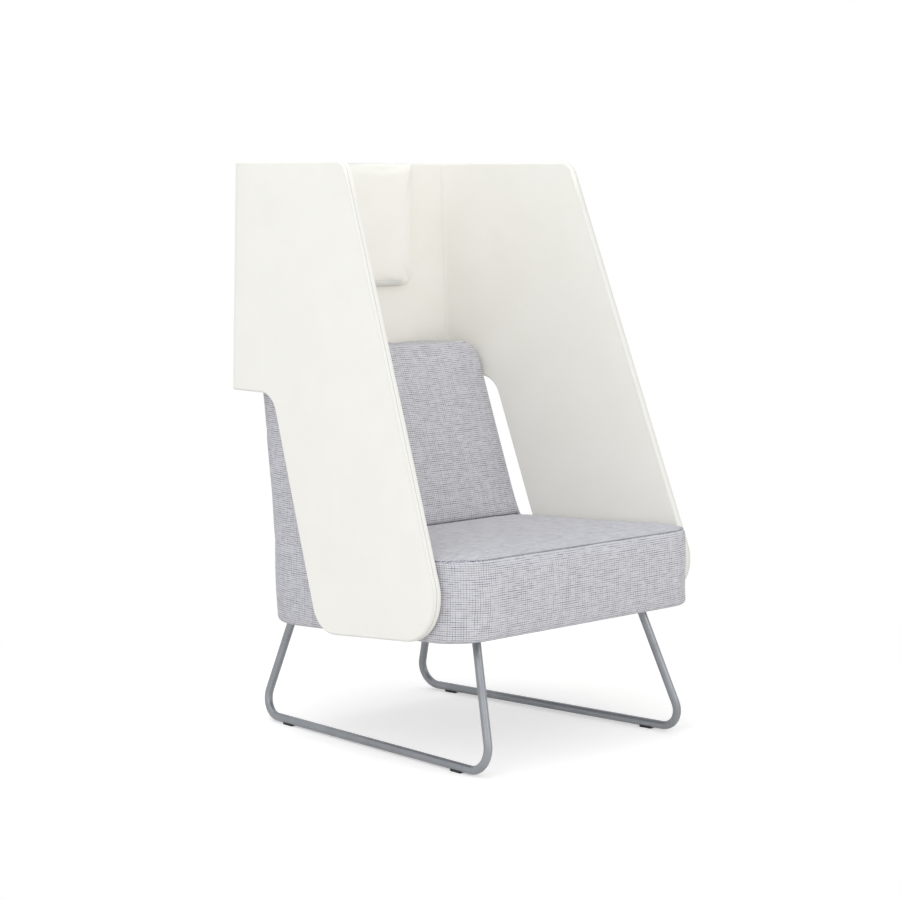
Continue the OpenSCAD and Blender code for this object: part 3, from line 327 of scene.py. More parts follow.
# The backrest's rings near the crease, how many follow and go round its top edge, and how far round they go
DENSE, N_RISE, N_TOP_EDGE, CLIMB = [0, 0.006, 0.014, 0.026, 0.045], 30, 18, 0.9999
# Crown of the seat and dip at the crease, with the lengths over which they run, and their start at the seam
CROWN, CROWN_RUN, DIP, DIP_RUN, START, START_RUN = 0.009, 0.045, 0.006, 0.010, 0.004, 0.012
# Distances from the seam, and from the crease, at which the seat's top gets extra points
SEAM_ROWS, CREASE_ROWS = (0.004, 0.009, 0.016, 0.026), (0.004, 0.009, 0.016)
# Square of the distance below which two points are the same
SAME = 1e-11


def under(y):
    """Height of the body's underside."""
    return UNDER_Z - (y + SEAT_FRONT) * UNDER_SLOPE


def seat(y):
    """Height of the seat's edge."""
    return SEAT_Z - (y + SEAT_FRONT) * SEAT_SLOPE


def joint(y):
    """Height of the line from which the backrest rises."""
    return seat(y) + JOINT_RISE


def back_front(z):
    return CREASE + (z - CREASE_Z) * BACK_SLOPE


def back_rear(z):
    low = under(BACK_LOW_REAR)
    return mix(BACK_LOW_REAR, PANEL_FACE, clamp((z - low) / (STEP_Z - low)))


def at_crease(y):
    """0 in front, and 1 at the crease and behind it."""
    return smooth((y - CREASE + CREASE_RUN) / CREASE_RUN)


def round_in(h, r):
    """How far a round edge of the radius r stands back at a height h below its top."""
    return 0.0 if h >= r else r * (1 - sqrt(max(0.0, 1 - (1 - h / r) ** 2)))


def front_corner(x, y0, r, n, z_of):
    """The round corner from a front at y0 to the flared side."""
    pts = []
    for k in range(n + 1):
        t = mix(-pi / 2, FLARE, k / n)
        y = y0 + r + r * sin(t)
        pts.append((x + r * cos(t), y, z_of(y)))
    return pts


def behind(z_of, inset, rear_in, y0, start_u):
    """Side from y0 to the rear corner, the corner and the rear, on the right."""
    yr = back_rear(z_of(BACK_LOW_REAR)) - rear_in
    ry = min(BACK_R, yr - y0 - LEAST_SIDE)
    ys = yr - ry
    xs = body_half(ys, z_of(ys), inset) - BACK_R
    pts = []
    for k in range(N_BACK_SIDE + 1):
        y = mix(y0, ys, k / N_BACK_SIDE)
        pts.append((body_half(y, z_of(y), inset), y, z_of(y)))
    for t in quarter(N_REAR_CORNER)[1:]:
        y = ys + ry * sin(t)
        pts.append((xs + BACK_R * cos(t), y, z_of(y)))
    side = with_arc(pts, lambda p: p[2], start_u)
    side[-1] = (*side[-1][:5], side[-1][0], side[-1][2])
    z = z_of(yr)
    rear = [xs * (1 - k / N_REAR) for k in range(1, N_REAR + 1)]
    return side + [(x, yr, z, x, z, x, z) for x in rear]


def low_ring(z_of, inset, front_in=None, keep_rear=False):
    """A ring of the body below the seat's seam, from the front's middle round to the rear's, right half."""
    front_in = inset if front_in is None else front_in
    r = SEAT_R - front_in
    yf = -SEAT_FRONT + front_in
    xf = body_half(yf + r, z_of(yf + r), inset) - r / cos(FLARE)
    pts = [(xf * k / N_FRONT, yf, z_of(yf)) for k in range(N_FRONT)]
    pts += front_corner(xf, yf, r, N_CORNER, z_of)
    y0 = pts[-1][1]
    for k in range(1, N_SIDE + 1):
        y = mix(y0, CREASE, k / N_SIDE)
        here = inset * (1 - at_crease(y)) if keep_rear else inset
        pts.append((body_half(y, z_of(y), here), y, z_of(y)))
    ring = with_arc(pts, lambda p: p[2])
    rear_in = 0.0 if keep_rear else inset
    return ring[:-1] + behind(z_of, rear_in, rear_in, CREASE, ring[-1][3])


def body_rings():
    """Rings from the underside up to the seat's top seam."""
    rings = [low_ring(lambda y: under(y) + rise, inset) for rise, inset in TURN_IN]
    for a in quarter(6):
        rise, inset = LOW_R * (1 - cos(a)), LOW_R * (1 - sin(a))
        rings.append(low_ring(lambda y: under(y) + rise, inset))
    for k in range(1, N_SKIRT):
        t = k / N_SKIRT
        inset = -SIDE_SWELL * sin(pi * t)
        front_in = inset * FRONT_SWELL
        rings.append(low_ring(lambda y: mix(under(y) + LOW_R, seat(y) + SEAM_LOW, t), inset, front_in))
    for rise, inset in SEAM_RINGS:
        spread = mix(SEAM_LOW, JOINT_RISE, (rise - SEAM_LOW) / (SEAM_HIGH - SEAM_LOW))
        rings.append(low_ring(lambda y: seat(y) + mix(rise, spread, at_crease(y)), inset, keep_rear=True))
    return rings


def high_ring(s, z_top, inset, edge, u0):
    """A ring of the backrest, from its front face's middle round to its rear's, right half."""
    def z_of(y):
        return mix(joint(y), z_top, s)
    z = z_of(CREASE + FACE_REF)
    above = z - CREASE_Z
    yf = back_front(z) + edge
    r = mix(JOINT_R, EDGE_FRONT_R, smooth(above / EDGE_RUN))
    up = clamp(above / (BACK_TOP - CREASE_Z))
    tuck = TUCK * (1 - exp(-max(0.0, above) / TUCK_RUN))
    bulge = BULGE * 4 * (up + 0.25 * up * (1 - up)) * (1 - up)
    xe = body_half(yf, z, inset)
    xf = body_half(yf + r, z, inset) - r / cos(FLARE)
    pts = []
    for k in range(N_FACE):
        x = xf * k / N_FACE
        y = yf - bulge * (1 - (x / xe) ** 2) - tuck * (1 - (x / xe) ** 8)
        pts.append((x, y, z_of(y)))
    pts += front_corner(xf, yf, r, N_EDGE, z_of)
    front = with_arc(pts, lambda p: p[2] / cos(BACK_TILT))
    y0 = pts[-1][1]
    rest = behind(z_of, inset, edge, y0, u0 + (y0 - CREASE))
    front[-1] = (*front[-1][:5], *rest[0][5:])
    return front + rest[1:]


def backrest_rings(u0):
    """Rings from the crease up to the top edge, and round it."""
    knee = BACK_TOP - BACK_TOP_R
    shares = DENSE + [mix(DENSE[-1], 1, k / N_RISE) for k in range(1, N_RISE + 1)]
    rings = [high_ring(s, knee, 0.0, 0.0, u0) for s in shares]
    for a in quarter(N_TOP_EDGE)[1:]:
        z = knee + BACK_TOP_R * sin(a) * CLIMB
        h = BACK_TOP - z
        rings.append(high_ring(1.0, z, round_in(h, BACK_TOP_R), round_in(h, EDGE_TOP_R), u0))
    return rings


def seat_top(seam_line, crease_line):
    """The crowned top of the seat between its seam and the crease."""
    outline = seam_line + crease_line[-2::-1]
    known = np.array(outline)
    seam, crease = np.array(seam_line)[:, :2], np.array(crease_line)[:, :2]

    def place(x, y):
        gaps = ((known[:, :2] - np.array([x, y])) ** 2).sum(1)
        z = known[gaps.argmin(), 2]
        if gaps.min() > SAME:
            d, c = distance(seam, x, y), distance(crease, x, y)
            rise = CROWN * (1 - exp(-d / CROWN_RUN)) - DIP * exp(-c / DIP_RUN)
            z = seat(y) + SEAM_HIGH + rise * min(1.0, (d + START) / START_RUN)
        return (x, y, z), (x, y)
    extra = []
    for off in SEAM_ROWS:
        extra += beside(seam, off)
        if off in CREASE_ROWS:
            extra += [tuple((a + b) / 2 - np.array([0, off])) for a, b in zip(crease[:-1], crease[1:])]
    return patch([p[:2] for p in outline], 0.011, place, extra)


def build_body(material):
    """The body's mesh, with its rings below and above the crease."""
    skin = Skin()
    low = body_rings()
    skin.strip(low)
    top = low[-1]
    high = backrest_rings(top[TO_CREASE][3])
    # the first backrest ring shares its side and rear with the last low ring
    first = high[0]
    high[0] = first[:TO_EDGE] + [(*a[:3], *b[3:]) for a, b in zip(top[TO_CREASE:], first[TO_EDGE:])]
    skin.strip(high)
    z_end = high[-1][0][2]
    skin.add(*patch([p[:2] for p in high[-1]], 0.012, lambda x, y: ((x, y, z_end), (x, y + z_end * 1.05))))
    skin.add(*seat_top([p[:3] for p in top[:TO_CREASE + 1]], [p[:3] for p in high[0][:TO_EDGE + 1]]))
    # the underside is closed a little above the dust sheet
    skin.add(*patch([p[:2] for p in low[0]], 0.03, lambda x, y: ((x, y, under(y) + CLOSE_RISE), (x, y))))
    skin.mirror()
    return skin.make("body_upholstery", material, 3e-5), low, high


def pin_points(low, high):
    """The frame's lower edges, the groove, the crease and the rear corners, on both sides."""
    points = [p for ring in low[:PINNED_RINGS] for p in ring]
    points += low[GROOVE][:TO_CREASE + 1] + high[0][:TO_EDGE + 1]
    points += [ring[TO_CREASE + TO_REAR] for ring in low] + [ring[TO_EDGE + TO_REAR] for ring in high]
    return np.array([(s * p[0], p[1], p[2]) for s in (1, -1) for p in points])


# Most that the body may swell beside the wings, before the rear panel and elsewhere
SIDE_CAP, REAR_CAP, FREE_CAP = 0.0020, 0.0018, 0.0055
FACING, FACING_RUN = 0.75, 0.4


def body_cap(normal):
    """Most that a point of the body may swell: little where a wing or the rear panel stands close."""
    if abs(normal.x) > FACING:
        return SIDE_CAP
    if normal.y > FACING:
        return REAR_CAP
    return mix(SIDE_CAP, FREE_CAP, smooth((FACING - abs(normal.x)) / FACING_RUN))


def seat_welt_path(low, lift=0.0004):
    """Along the groove round the seat's top, from the left crease to the right one."""
    half = [Vector((p[0], p[1], p[2] + lift)) for p in low[GROOVE][:TO_CREASE - 1]]
    return [Vector((-p.x, p.y, p.z)) for p in half[:0:-1]] + half


def rear_welt_path(low, high, lift=0.0003):
    """Up the right rear corner, from the lower edge to the top one."""
    line = [r[TO_CREASE + TO_REAR] for r in low[WELT_FROM:]]
    line += [r[TO_EDGE + TO_REAR] for r in high[1:WELT_TO]]
    return [Vector((p[0], p[1] + lift, p[2])) for p in line]


# Dust sheet under the seat: inset, lift above the underside, sag, and the sag's run in from the edges
SHEET_IN, SHEET_LIFT, SAG, SAG_RUN, SHEET_EDGE, SHEET_HALF = 0.0226, 0.0008, 0.0006, 0.2, 0.02, 0.36


def sheet_outline():
    """The outline of the body's underside, moved in."""
    half = [p[:2] for p in low_ring(under, SHEET_IN)]
    return half + [(-x, y) for x, y in half[-2:0:-1]]


def sheet_place(x, y):
    rim = min(SEAT_FRONT - SHEET_EDGE + y, BACK_LOW_REAR - SHEET_EDGE - y, SHEET_HALF - abs(x))
    return (x, y, under(y) + SHEET_LIFT - SAG * clamp(rim / SAG_RUN)), (x, y)


# Screen wings and rear panel
# Steps of the wing's outline: top, rear corner, seam, foot, four rounds and the edges between them
N_TOP, N_ARC, N_SEAM, N_FOOT = 24, 12, 4, 10
N_ROUNDS, N_WING_EDGES = (12, 18, 18, 14), (60, 14, 36)
# Inner corner radius, the seam's place on the inner face, its least width and the panel's gap to it
INNER_CORNER_R, INNER_WRAP, LEAST_WRAP, PANEL_GAP = 0.0006, SCREEN_T + 0.0016, 0.0004, 0.0007
# Rim radius, and the depth and inset of the sewn seam along the rim
RIM_R = 0.0045
RIM_SEAM = [(0.0056, 0.0001), (0.0062, 0.0007), (0.0067, 0.0013), (0.0072, 0.0007), (0.0078, 0.0001),
            (0.0105, -0.0004), (0.0132, -0.0002)]
# Depth of the soft dip along a rim, and how wide and how close to the rim it is
RIM_DIP, DIP_WIDE, DIP_CLOSE = 0.0009, 0.016, 0.004
# Distances from the rim at which a face gets extra points, and the grid of them on the rear corner
RIM_ROWS, N_CORNER_Q, N_CORNER_Z, CORNER_END = (0.003, 0.007, 0.013, 0.022), 13, 44, 0.012
# Edges that turn by more degrees than this stay sharp
SCREEN_CREASE, TUBE_CREASE = 32, 40


def unit2(x, y):
    n = hypot(x, y)
    return x / n, y / n


def rounded(a, p, b, r, n):
    """Points of the round that replaces the corner p of a-p-b."""
    ux, uy = unit2(a[0] - p[0], a[1] - p[1])
    vx, vy = unit2(b[0] - p[0], b[1] - p[1])
    h = acos(max(-1, min(1, ux * vx + uy * vy))) / 2
    wx, wy = unit2(ux + vx, uy + vy)
    cx, cy = p[0] + wx * r / sin(h), p[1] + wy * r / sin(h)
    sx, sy = p[0] + ux * r / tan(h) - cx, p[1] + uy * r / tan(h) - cy
    way = 1 if ux * vy < uy * vx else -1
    out = []
    for k in range(n + 1):
        t = way * (pi - 2 * h) * k / n
        out.append((cx + sx * cos(t) - sy * sin(t), cy + sx * sin(t) + sy * cos(t)))
    return out


def inset_corner(a, p, b, d):
    """The corner p of a-p-b after both its edges have moved in by d."""
    ux, uy = unit2(p[0] - a[0], p[1] - a[1])
    vx, vy = unit2(b[0] - p[0], b[1] - p[1])
    n1, n2 = (-uy, ux), (-vy, vx)
    s = d / (1 + n1[0] * n2[0] + n1[1] * n2[1])
    return p[0] + (n1[0] + n2[0]) * s, p[1] + (n1[1] + n2[1]) * s


def wing_round(k, d, n):
    """The round at the corner k of the wing's outline, inset by d."""
    p = []
    for j in (k - 1, k, k + 1):
        if j < 1 or j > 4:
            p.append((WING[j][0], WING[j][1] + (-d if j < 1 else d)))
        else:
            p.append(inset_corner(WING[j - 1], WING[j], WING[j + 1], d))
    return rounded(*p, abs(WING_R[k] - d), n)


def corner_r(d):
    """Radius of the wing's rear corner at the depth d."""
    return mix(CORNER_R, INNER_CORNER_R, clamp(d / SCREEN_T))


def seam_back(d):
    """From the wing's outer face in to its seam, on the rear face, at the depth d."""
    return mix(WRAP, INNER_WRAP, clamp(d / SCREEN_T))


def wing_surface(q, z, d):
    """Point of the wing at the developed place (q, z), a depth d behind its outer face."""
    r = corner_r(d)
    yc = REAR - d - r
    qt = yc + r * sin(FLARE) + d * sin(FLARE)
    if q <= qt:
        return half_w(q, z) - d * cos(FLARE), q - d * sin(FLARE), z
    arc = r * (pi / 2 - FLARE)
    t = FLARE + min(1.0, (q - qt) / arc) * (pi / 2 - FLARE)
    x = half_w(yc + r * sin(t), z) - (d + r) / cos(FLARE) + r * cos(t)
    return x - max(0.0, q - qt - arc), yc + r * sin(t), z


def wing_q(d):
    """Developed places of the corner's start and end and of the seam, at the depth d."""
    r = corner_r(d)
    qt = REAR - d - r + (r + d) * sin(FLARE)
    qa = qt + r * (pi / 2 - FLARE)
    x_end = half_w(REAR - d, TALL) - (d + r) / cos(FLARE)
    return qt, qa, qa + max(LEAST_WRAP, x_end - (half_w(REAR, TALL) - seam_back(d)))


def wing_outline(d, inset):
    """Closed outline in (q, z) without its end at the seam, from the seam's top round to its foot."""
    qt, qa, qe = wing_q(d)
    top, low = TALL - inset, STEP_Z + inset
    rounds = [wing_round(k + 1, inset, n) for k, n in enumerate(N_ROUNDS)]
    pts = steps((qe, top), (qa, top), N_SEAM) + steps((qa, top), (qt, top), N_ARC)
    pts += steps((qt, top), (rounds[0][0][0], top), N_TOP) + rounds[0]
    for one, two, n in zip(rounds, rounds[1:], N_WING_EDGES):
        pts += steps(one[-1], two[0], n)[1:] + two
    pts += steps((rounds[-1][-1][0], low), (qt, low), N_FOOT)[1:]
    return pts + steps((qt, low), (qa, low), N_ARC) + steps((qa, low), (qe, low), N_SEAM) + [(qe, low)]


def rim_profile():
    """Depth and inset of the rim from the outer face round to the inner one, with its sewn seam."""
    outer = [(RIM_R * (1 - sin(a)), RIM_R * (1 - cos(a))) for a in quarter(6)[::-1]]
    inner = [(SCREEN_T - RIM_R * (1 - sin(a)), RIM_R * (1 - cos(a))) for a in quarter(6)]
    return outer + RIM_SEAM + inner


def rim_dip(rim):
    """How far the padded face lies below its own plane at a distance from the rim."""
    return RIM_DIP * (exp(-rim / DIP_WIDE) - exp(-rim / DIP_CLOSE)) if rim > 1e-5 else 0.0


def wing_face(d, sign):
    """The outer face of the wing at the depth 0, or its inner one at the screen's thickness."""
    low, high = STEP_Z + RIM_R, TALL - RIM_R
    outline = wing_outline(d, RIM_R)
    edge = np.array(outline)
    qt, qa, qe = wing_q(d)
    extra = []
    for off in RIM_ROWS:
        extra += beside(edge, off)
    if sign > 0:
        for q, _ in steps((qt, 0), (qa, 0), N_CORNER_Q)[1:]:
            extra += steps((q, STEP_Z + CORNER_END), (q, TALL - CORNER_END), N_CORNER_Z)[1:]

    def place(q, z):
        return wing_surface(q, z, d + sign * rim_dip(distance(edge, q, z))), (q, z)
    v, f, u = patch(outline + steps((qe, low), (qe, high), 40)[1:], 0.014, place, extra)
    if sign < 0:
        f, u = [t[::-1] for t in f], [t[::-1] for t in u]
    return v, f, u


def build_wing(name, material, side):
    """A flat padded wing that turns round the rear corner. side is -1 for the left one."""
    skin = Skin()
    rings, across, last = [], 0.0, None
    for d, inset in rim_profile():
        across += dist((d, inset), last) if last else 0.0
        last = (d, inset)
        rings.append(with_arc([wing_surface(q, z, d) for q, z in wing_outline(d, inset)], lambda p: across))
    skin.strip(rings)
    skin.add(*wing_face(0.0, 1))
    skin.add(*wing_face(SCREEN_T, -1))
    skin.v = [(side * x, y, z) for x, y, z in skin.v]
    return keep_creases(close_holes(skin.make(name, material)), SCREEN_CREASE)


def build_rear_panel(material, across=40, rise=30):
    """The rear panel between the two wings' seams, right half and its mirror image."""
    skin = Skin()

    def row(z, d, sink, v):
        """From the middle to the seam, at the depth d."""
        end = half_w(REAR, z) - seam_back(d) - PANEL_GAP
        xs = [end * k / across for k in range(across + 1)]
        return [(x, REAR - d - sink, z, x, v, x, v) for x in xs]
    rim = rim_profile()
    skin.strip([row(TALL - inset, d, 0, d)[::-1] for d, inset in rim])
    skin.strip([row(STEP_Z + inset, d, 0, d) for d, inset in rim])
    low, high = STEP_Z + RIM_R, TALL - RIM_R
    for d, sign in ((0.0, 1), (SCREEN_T, -1)):
        levels = [mix(low, high, j / rise) for j in range(rise + 1)]
        rings = [row(z, d, sign * rim_dip(min(z - low, high - z)), z) for z in levels]
        skin.strip(rings if sign < 0 else [ring[::-1] for ring in rings])
    skin.mirror()
    return keep_creases(close_holes(skin.make("rear_panel", material, 4e-5)), SCREEN_CREASE)


# Headrest pad on the rear panel: its size, its lower and upper corners, and the edge of its front
PAD_W, PAD_H, PAD_T, PAD_R, PAD_TOP_R, PAD_EDGE_R = 0.402, 0.296, 0.026, 0.038, 0.008, 0.014
# Depth and inset of the first rings from the panel
PAD_FOOT = [(0.0, 0.006), (0.0006, 0.003), (0.003, 0.0008), (0.006, 0.0)]
# Crown of the pad, the length over which it rises, and the depth up to which the pad is pinned
PAD_CROWN, PAD_CROWN_RUN, PAD_PINNED = 0.0028, 0.030, 0.0042
N_PAD_ROUND, N_PAD_UP, N_PAD_ACROSS = 10, 28, 40


def pad_outline(inset):
    """Outline in (x, z). The top moves in less, because it is flush with the panel's."""
    w, low, high = PAD_W / 2 - inset, TALL - PAD_H + inset, TALL - inset * 0.35
    spots = [(w, low), (w, high), (-w, high), (-w, low)]
    radii = [PAD_R - inset, PAD_TOP_R, PAD_TOP_R, PAD_R - inset]
    turns = [rounded(spots[k - 1], spots[k], spots[(k + 1) % 4], radii[k], N_PAD_ROUND) for k in range(4)]
    out = []
    for k, turn in enumerate(turns):
        n = N_PAD_ACROSS if k % 2 else N_PAD_UP
        out += turn + steps(turn[-1], turns[(k + 1) % 4][0], n)[1:]
    return out


def build_pad(material):
    """The headrest pad, flat at its rear and crowned in front."""
    skin = Skin()
    layers = PAD_FOOT + [(PAD_T - PAD_EDGE_R + PAD_EDGE_R * sin(a), PAD_EDGE_R * (1 - cos(a)))
                         for a in quarter(8)]
    rings = []
    for d, inset in layers:
        rings.append(with_arc([(x, PANEL_FACE - d, z) for x, z in pad_outline(inset)], lambda p: d))
    skin.strip(rings, closed=True)
    v, f, u = patch(pad_outline(layers[0][1]), 0.012, lambda x, z: ((x, PANEL_FACE, z), (x, z)))
    skin.add(v, [t[::-1] for t in f], u)
    front = np.array(pad_outline(layers[-1][1]))

    def place(x, z):
        crown = PAD_CROWN * (1 - exp(-distance(front, x, z) / PAD_CROWN_RUN))
        return (x, PANEL_FACE - PAD_T - crown, z), (x, z)
    skin.add(*patch([tuple(p) for p in front], 0.009, place))
    return skin.make("headrest_cushion", material)


# Sled base: bent tube loops with welds at the mounting plates
TUBE_R, BEND_R, GLIDE_H, PLATE_T = 0.0095, 0.046, 0.0026, 0.0052
RUN_FX, RUN_RX, RUN_F, RUN_R = 0.3154, 0.256, 0.412, 0.400
LOOP_LEAN, LEG_F, LEG_R = radians(8.92), radians(19.67), radians(17.52)
TOE = atan((RUN_FX - RUN_RX) / (RUN_F + RUN_R))
RUN_LEN = (RUN_F + RUN_R) / cos(TOE)
TUBE_Z = TUBE_R + GLIDE_H
LONGEST_LEG = 0.5
# Weld beads: radius, drop below the plate, depth and number of ripples, and steps round the leg and the bead
BEAD_R, BEAD_DROP, RIPPLE, RIPPLES, N_AROUND, N_BEAD = 0.0019, 0.0012, 0.10, 22, 64, 8
SWEPT_REACH, TUBE_SIDES = 1e-7, 32


def loop_point(along, up):
    """A place in the loop's own plane, as a point of the right loop in the row frame."""
    x1 = up * sin(LOOP_LEAN)
    return (RUN_FX - x1 * cos(TOE) - along * sin(TOE),
            -RUN_F - x1 * sin(TOE) + along * cos(TOE), TUBE_Z + up * cos(LOOP_LEAN))


def on_leg(m, foot, tilt):
    """A place in the loop's plane, at a length m up a leg that starts at foot."""
    return foot + m * sin(tilt), m * cos(tilt)


def leg_length(foot, tilt):
    """The length at which a leg meets its mounting plate, found by halving."""
    low, high = 0.0, LONGEST_LEG
    for _ in range(40):
        m = (low + high) / 2
        p = loop_point(*on_leg(m, foot, tilt))
        if p[2] < under(p[1]) - PLATE_T:
            low = m
        else:
            high = m
    return low


def bend(centre, start, end, n=16):
    """A bend in the loop's plane that touches the runner's line below its centre."""
    turns = [mix(start, end, k / n) for k in range(n + 1)]
    return [(centre + BEND_R * sin(h), BEND_R - BEND_R * cos(h)) for h in turns]


def loop_path(n_leg=24, n_run=40):
    """Down the front leg, along the runner and up the rear leg, on the right."""
    ft = BEND_R * tan(pi / 4 + LEG_F / 2)
    rt = BEND_R * tan(pi / 4 + LEG_R / 2)
    legs = (leg_length(0, LEG_F), leg_length(RUN_LEN, -LEG_R))
    pts = [on_leg(mix(legs[0], ft, k / n_leg), 0, LEG_F) for k in range(n_leg)]
    pts += bend(ft, -pi / 2 - LEG_F, 0)
    pts += steps((ft, 0.0), (RUN_LEN - rt, 0.0), n_run)[1:]
    pts += bend(RUN_LEN - rt, 0, pi / 2 + LEG_R)
    pts += [on_leg(mix(rt, legs[1], k / n_leg), RUN_LEN, -LEG_R) for k in range(1, n_leg + 1)]
    return [Vector(loop_point(*p)) for p in pts]


def tube(name, path, radius, material, sides, side=1):
    """A round tube along a path, closed at both ends. side is -1 for the left one."""
    n = len(path)
    pts = [Vector((side * p.x, p.y, p.z)) for p in path]
    u = (pts[1] - pts[0]).normalized().orthogonal().normalized()
    verts, faces = [], []
    for i, p in enumerate(pts):
        a = (pts[min(i + 1, n - 1)] - pts[max(i - 1, 0)]).normalized()
        u = (u - a * u.dot(a)).normalized()
        w = a.cross(u)
        for k in range(sides):
            t = tau * k / sides
            verts.append(p + (u * cos(t) + w * sin(t)) * radius)
    for i in range(n - 1):
        for k in range(sides):
            q = (k + 1) % sides
            faces.append((i * sides + k, i * sides + q, (i + 1) * sides + q, (i + 1) * sides + k))
    faces.append(tuple(range(sides))[::-1])
    faces.append(tuple((n - 1) * sides + k for k in range(sides)))
    return keep_creases(piece(name, verts, faces, material, SWEPT_REACH), TUBE_CREASE)


def build_weld(name, material, end, before, side):
    """A rippled bead round the end of a leg, where it meets its plate."""
    axis = (end - before).normalized()
    down = Vector((0, -UNDER_SLOPE, -1)).normalized()
    cos_tilt = abs(axis.dot(down))
    long_way = (axis - down * axis.dot(down)).normalized()
    short_way = down.cross(long_way)
    verts, faces = [], []
    for i in range(N_AROUND):
        t = tau * i / N_AROUND
        ring = long_way * (cos(t) * TUBE_R / cos_tilt) + short_way * (sin(t) * TUBE_R)
        r = BEAD_R * (1 + RIPPLE * sin(t * RIPPLES))
        for j in range(N_BEAD):
            s = tau * j / N_BEAD
            off = ring.normalized() * (r * cos(s)) + down * (r * sin(s))
            c = end + ring + down * BEAD_DROP + off
            verts.append((side * c.x, c.y, c.z))
            here, after = i * N_BEAD, (i + 1) % N_AROUND * N_BEAD
            k = (j + 1) % N_BEAD
            faces.append((here + j, here + k, after + k, after + j))
    return piece(name, verts, faces, material, SWEPT_REACH)


# Materials
def srgb(*values):
    """A linear colour from sRGB values of 0 to 255, none of them near black."""
    return (*[((c / 255 + 0.055) / 1.055) ** 2.4 for c in values], 1.0)


class Graph:
    """The node tree of a material or world, with short calls for its nodes."""

    def __init__(self, owner, clear=False):
        owner.use_nodes = True
        self.owner, self.tree = owner, owner.node_tree
        if clear:
            self.tree.nodes.clear()

    def put(self, socket, value):
        if isinstance(value, bpy.types.NodeSocket):
            self.tree.links.new(value, socket)
        else:
            socket.default_value = value

    def node(self, kind, *inputs, **values):
        """The outputs of a new node. Its first inputs are given in order, its other values by name."""
        n = self.tree.nodes.new(kind)
        for name, value in values.items():
            if hasattr(n, name):
                setattr(n, name, value)
            else:
                self.put(n.inputs[name], value)
        for socket, value in zip(n.inputs, inputs):
            self.put(socket, value)
        return n.outputs

    def math(self, kind, a, b=0.0):
        return self.node("ShaderNodeMath", a, b, operation=kind)[0]

    def plus(self, a, b):
        return self.math("ADD", a, b)

    def minus(self, a, b):
        return self.math("SUBTRACT", a, b)

    def times(self, a, b):
        return self.math("MULTIPLY", a, b)

    def off(self, a, b):
        """How far a lies from b."""
        return self.math("ABSOLUTE", self.minus(a, b))

    def wave(self, along, rate):
        return self.math("SINE", self.times(along, rate))

    def vec(self, x, y, z=0.0):
        return self.node("ShaderNodeCombineXYZ", x, y, z)[0]

    def split(self, vector):
        return self.node("ShaderNodeSeparateXYZ", vector)

    def place(self):
        return self.node("ShaderNodeTexCoord")["Object"]

    def noise(self, vector, scale, detail=2.0, rough=0.5, dims="3D"):
        return self.node("ShaderNodeTexNoise", vector, noise_dimensions=dims,
                         Scale=scale, Detail=detail, Roughness=rough)[0]

    def patches(self, u, v, rate_u, rate_v, detail=1, rough=0.5):
        """Flat noise with its own number of patches per metre along u and v."""
        return self.noise(self.vec(self.times(u, rate_u), self.times(v, rate_v)), 1, detail, rough, "2D")

    def ramp(self, value, a, b, low=0.0, high=1.0):
        return self.node("ShaderNodeMapRange", value, a, b, low, high, interpolation_type="SMOOTHSTEP")[0]

    def mix(self, factor, a, b):
        n = self.tree.nodes.new("ShaderNodeMix")
        n.data_type = "RGBA"
        for k, value in ((0, factor), (6, a), (7, b)):
            self.put(n.inputs[k], value)
        return n.outputs[2]


class Mat(Graph):
    """A material of the chair."""

    def __init__(self, name, roughness, metallic=0.0, sheen=0.0, specular=0.5):
        super().__init__(bpy.data.materials.new(name))
        self.base = self.tree.nodes["Principled BSDF"].inputs
        self.base["Metallic"].default_value = metallic
        self.base["Specular IOR Level"].default_value = specular
        self.base["Sheen Weight"].default_value = sheen
        self.rough(roughness)

    def colour(self, value):
        self.put(self.base["Base Color"], value)

    def rough(self, value):
        self.put(self.base["Roughness"], value)

    def bump(self, height, strength, depth):
        bumps = self.node("ShaderNodeBump", Strength=strength, Distance=depth, Height=height)
        self.put(self.base["Normal"], bumps[0])


# Arc length from the outer face at which the seam runs along a wing's rim
SEAM_V = 0.0099


def cream_fabric():
    """Fine cream wool. The wings' rims, where v is small, get painted shade: they are a little darker, since
    they face forward and are lit less. A stitched seam runs along them.
    """
    m = Mat("cream_wool", 0.92, sheen=0.10, specular=0.22)
    m.base["Sheen Roughness"].default_value = 0.6
    p = m.place()
    x, y, z = m.split(p)
    felt, cloud = m.noise(p, 620, 3, 0.65), m.noise(p, 9, 2)
    weave = m.times(m.wave(m.plus(x, y), 4400), m.wave(z, 4400))
    tone = m.plus(m.ramp(felt, 0.25, 0.75, -0.5, 0.5), m.times(weave, 0.25))
    cloth = m.mix(m.ramp(cloud, 0.3, 0.7), srgb(244, 242, 234), srgb(246, 244, 237))
    cloth = m.mix(m.ramp(tone, -0.9, 0.9, 0.0, 0.20), cloth, srgb(222, 218, 207))
    u, v, _ = m.split(m.node("ShaderNodeUVMap", uv_map="weave")[0])
    # Painted shade: the rim band, where it faces forward, is mixed towards a darker cream
    rim = m.times(m.ramp(v, 0.055, 0.030), m.ramp(u, 0.44, 0.50))
    cloth = m.mix(rim, cloth, srgb(232, 230, 224))
    seam = m.ramp(m.off(v, SEAM_V), 0.0022, 0.0004)
    stitch = m.ramp(m.wave(u, 1500), -0.6, 0.6, 0.55, 1.0)
    m.colour(m.mix(m.times(seam, stitch), cloth, srgb(210, 207, 199)))
    relief = m.plus(tone, m.times(weave, 0.5))
    m.bump(m.minus(relief, m.times(seam, 2.0)), 0.22, 0.0004)
    return m.owner


# Distance between two threads of the crosshatch, up and across
ROW_PITCH, COLUMN_PITCH = 0.0048, 0.0058


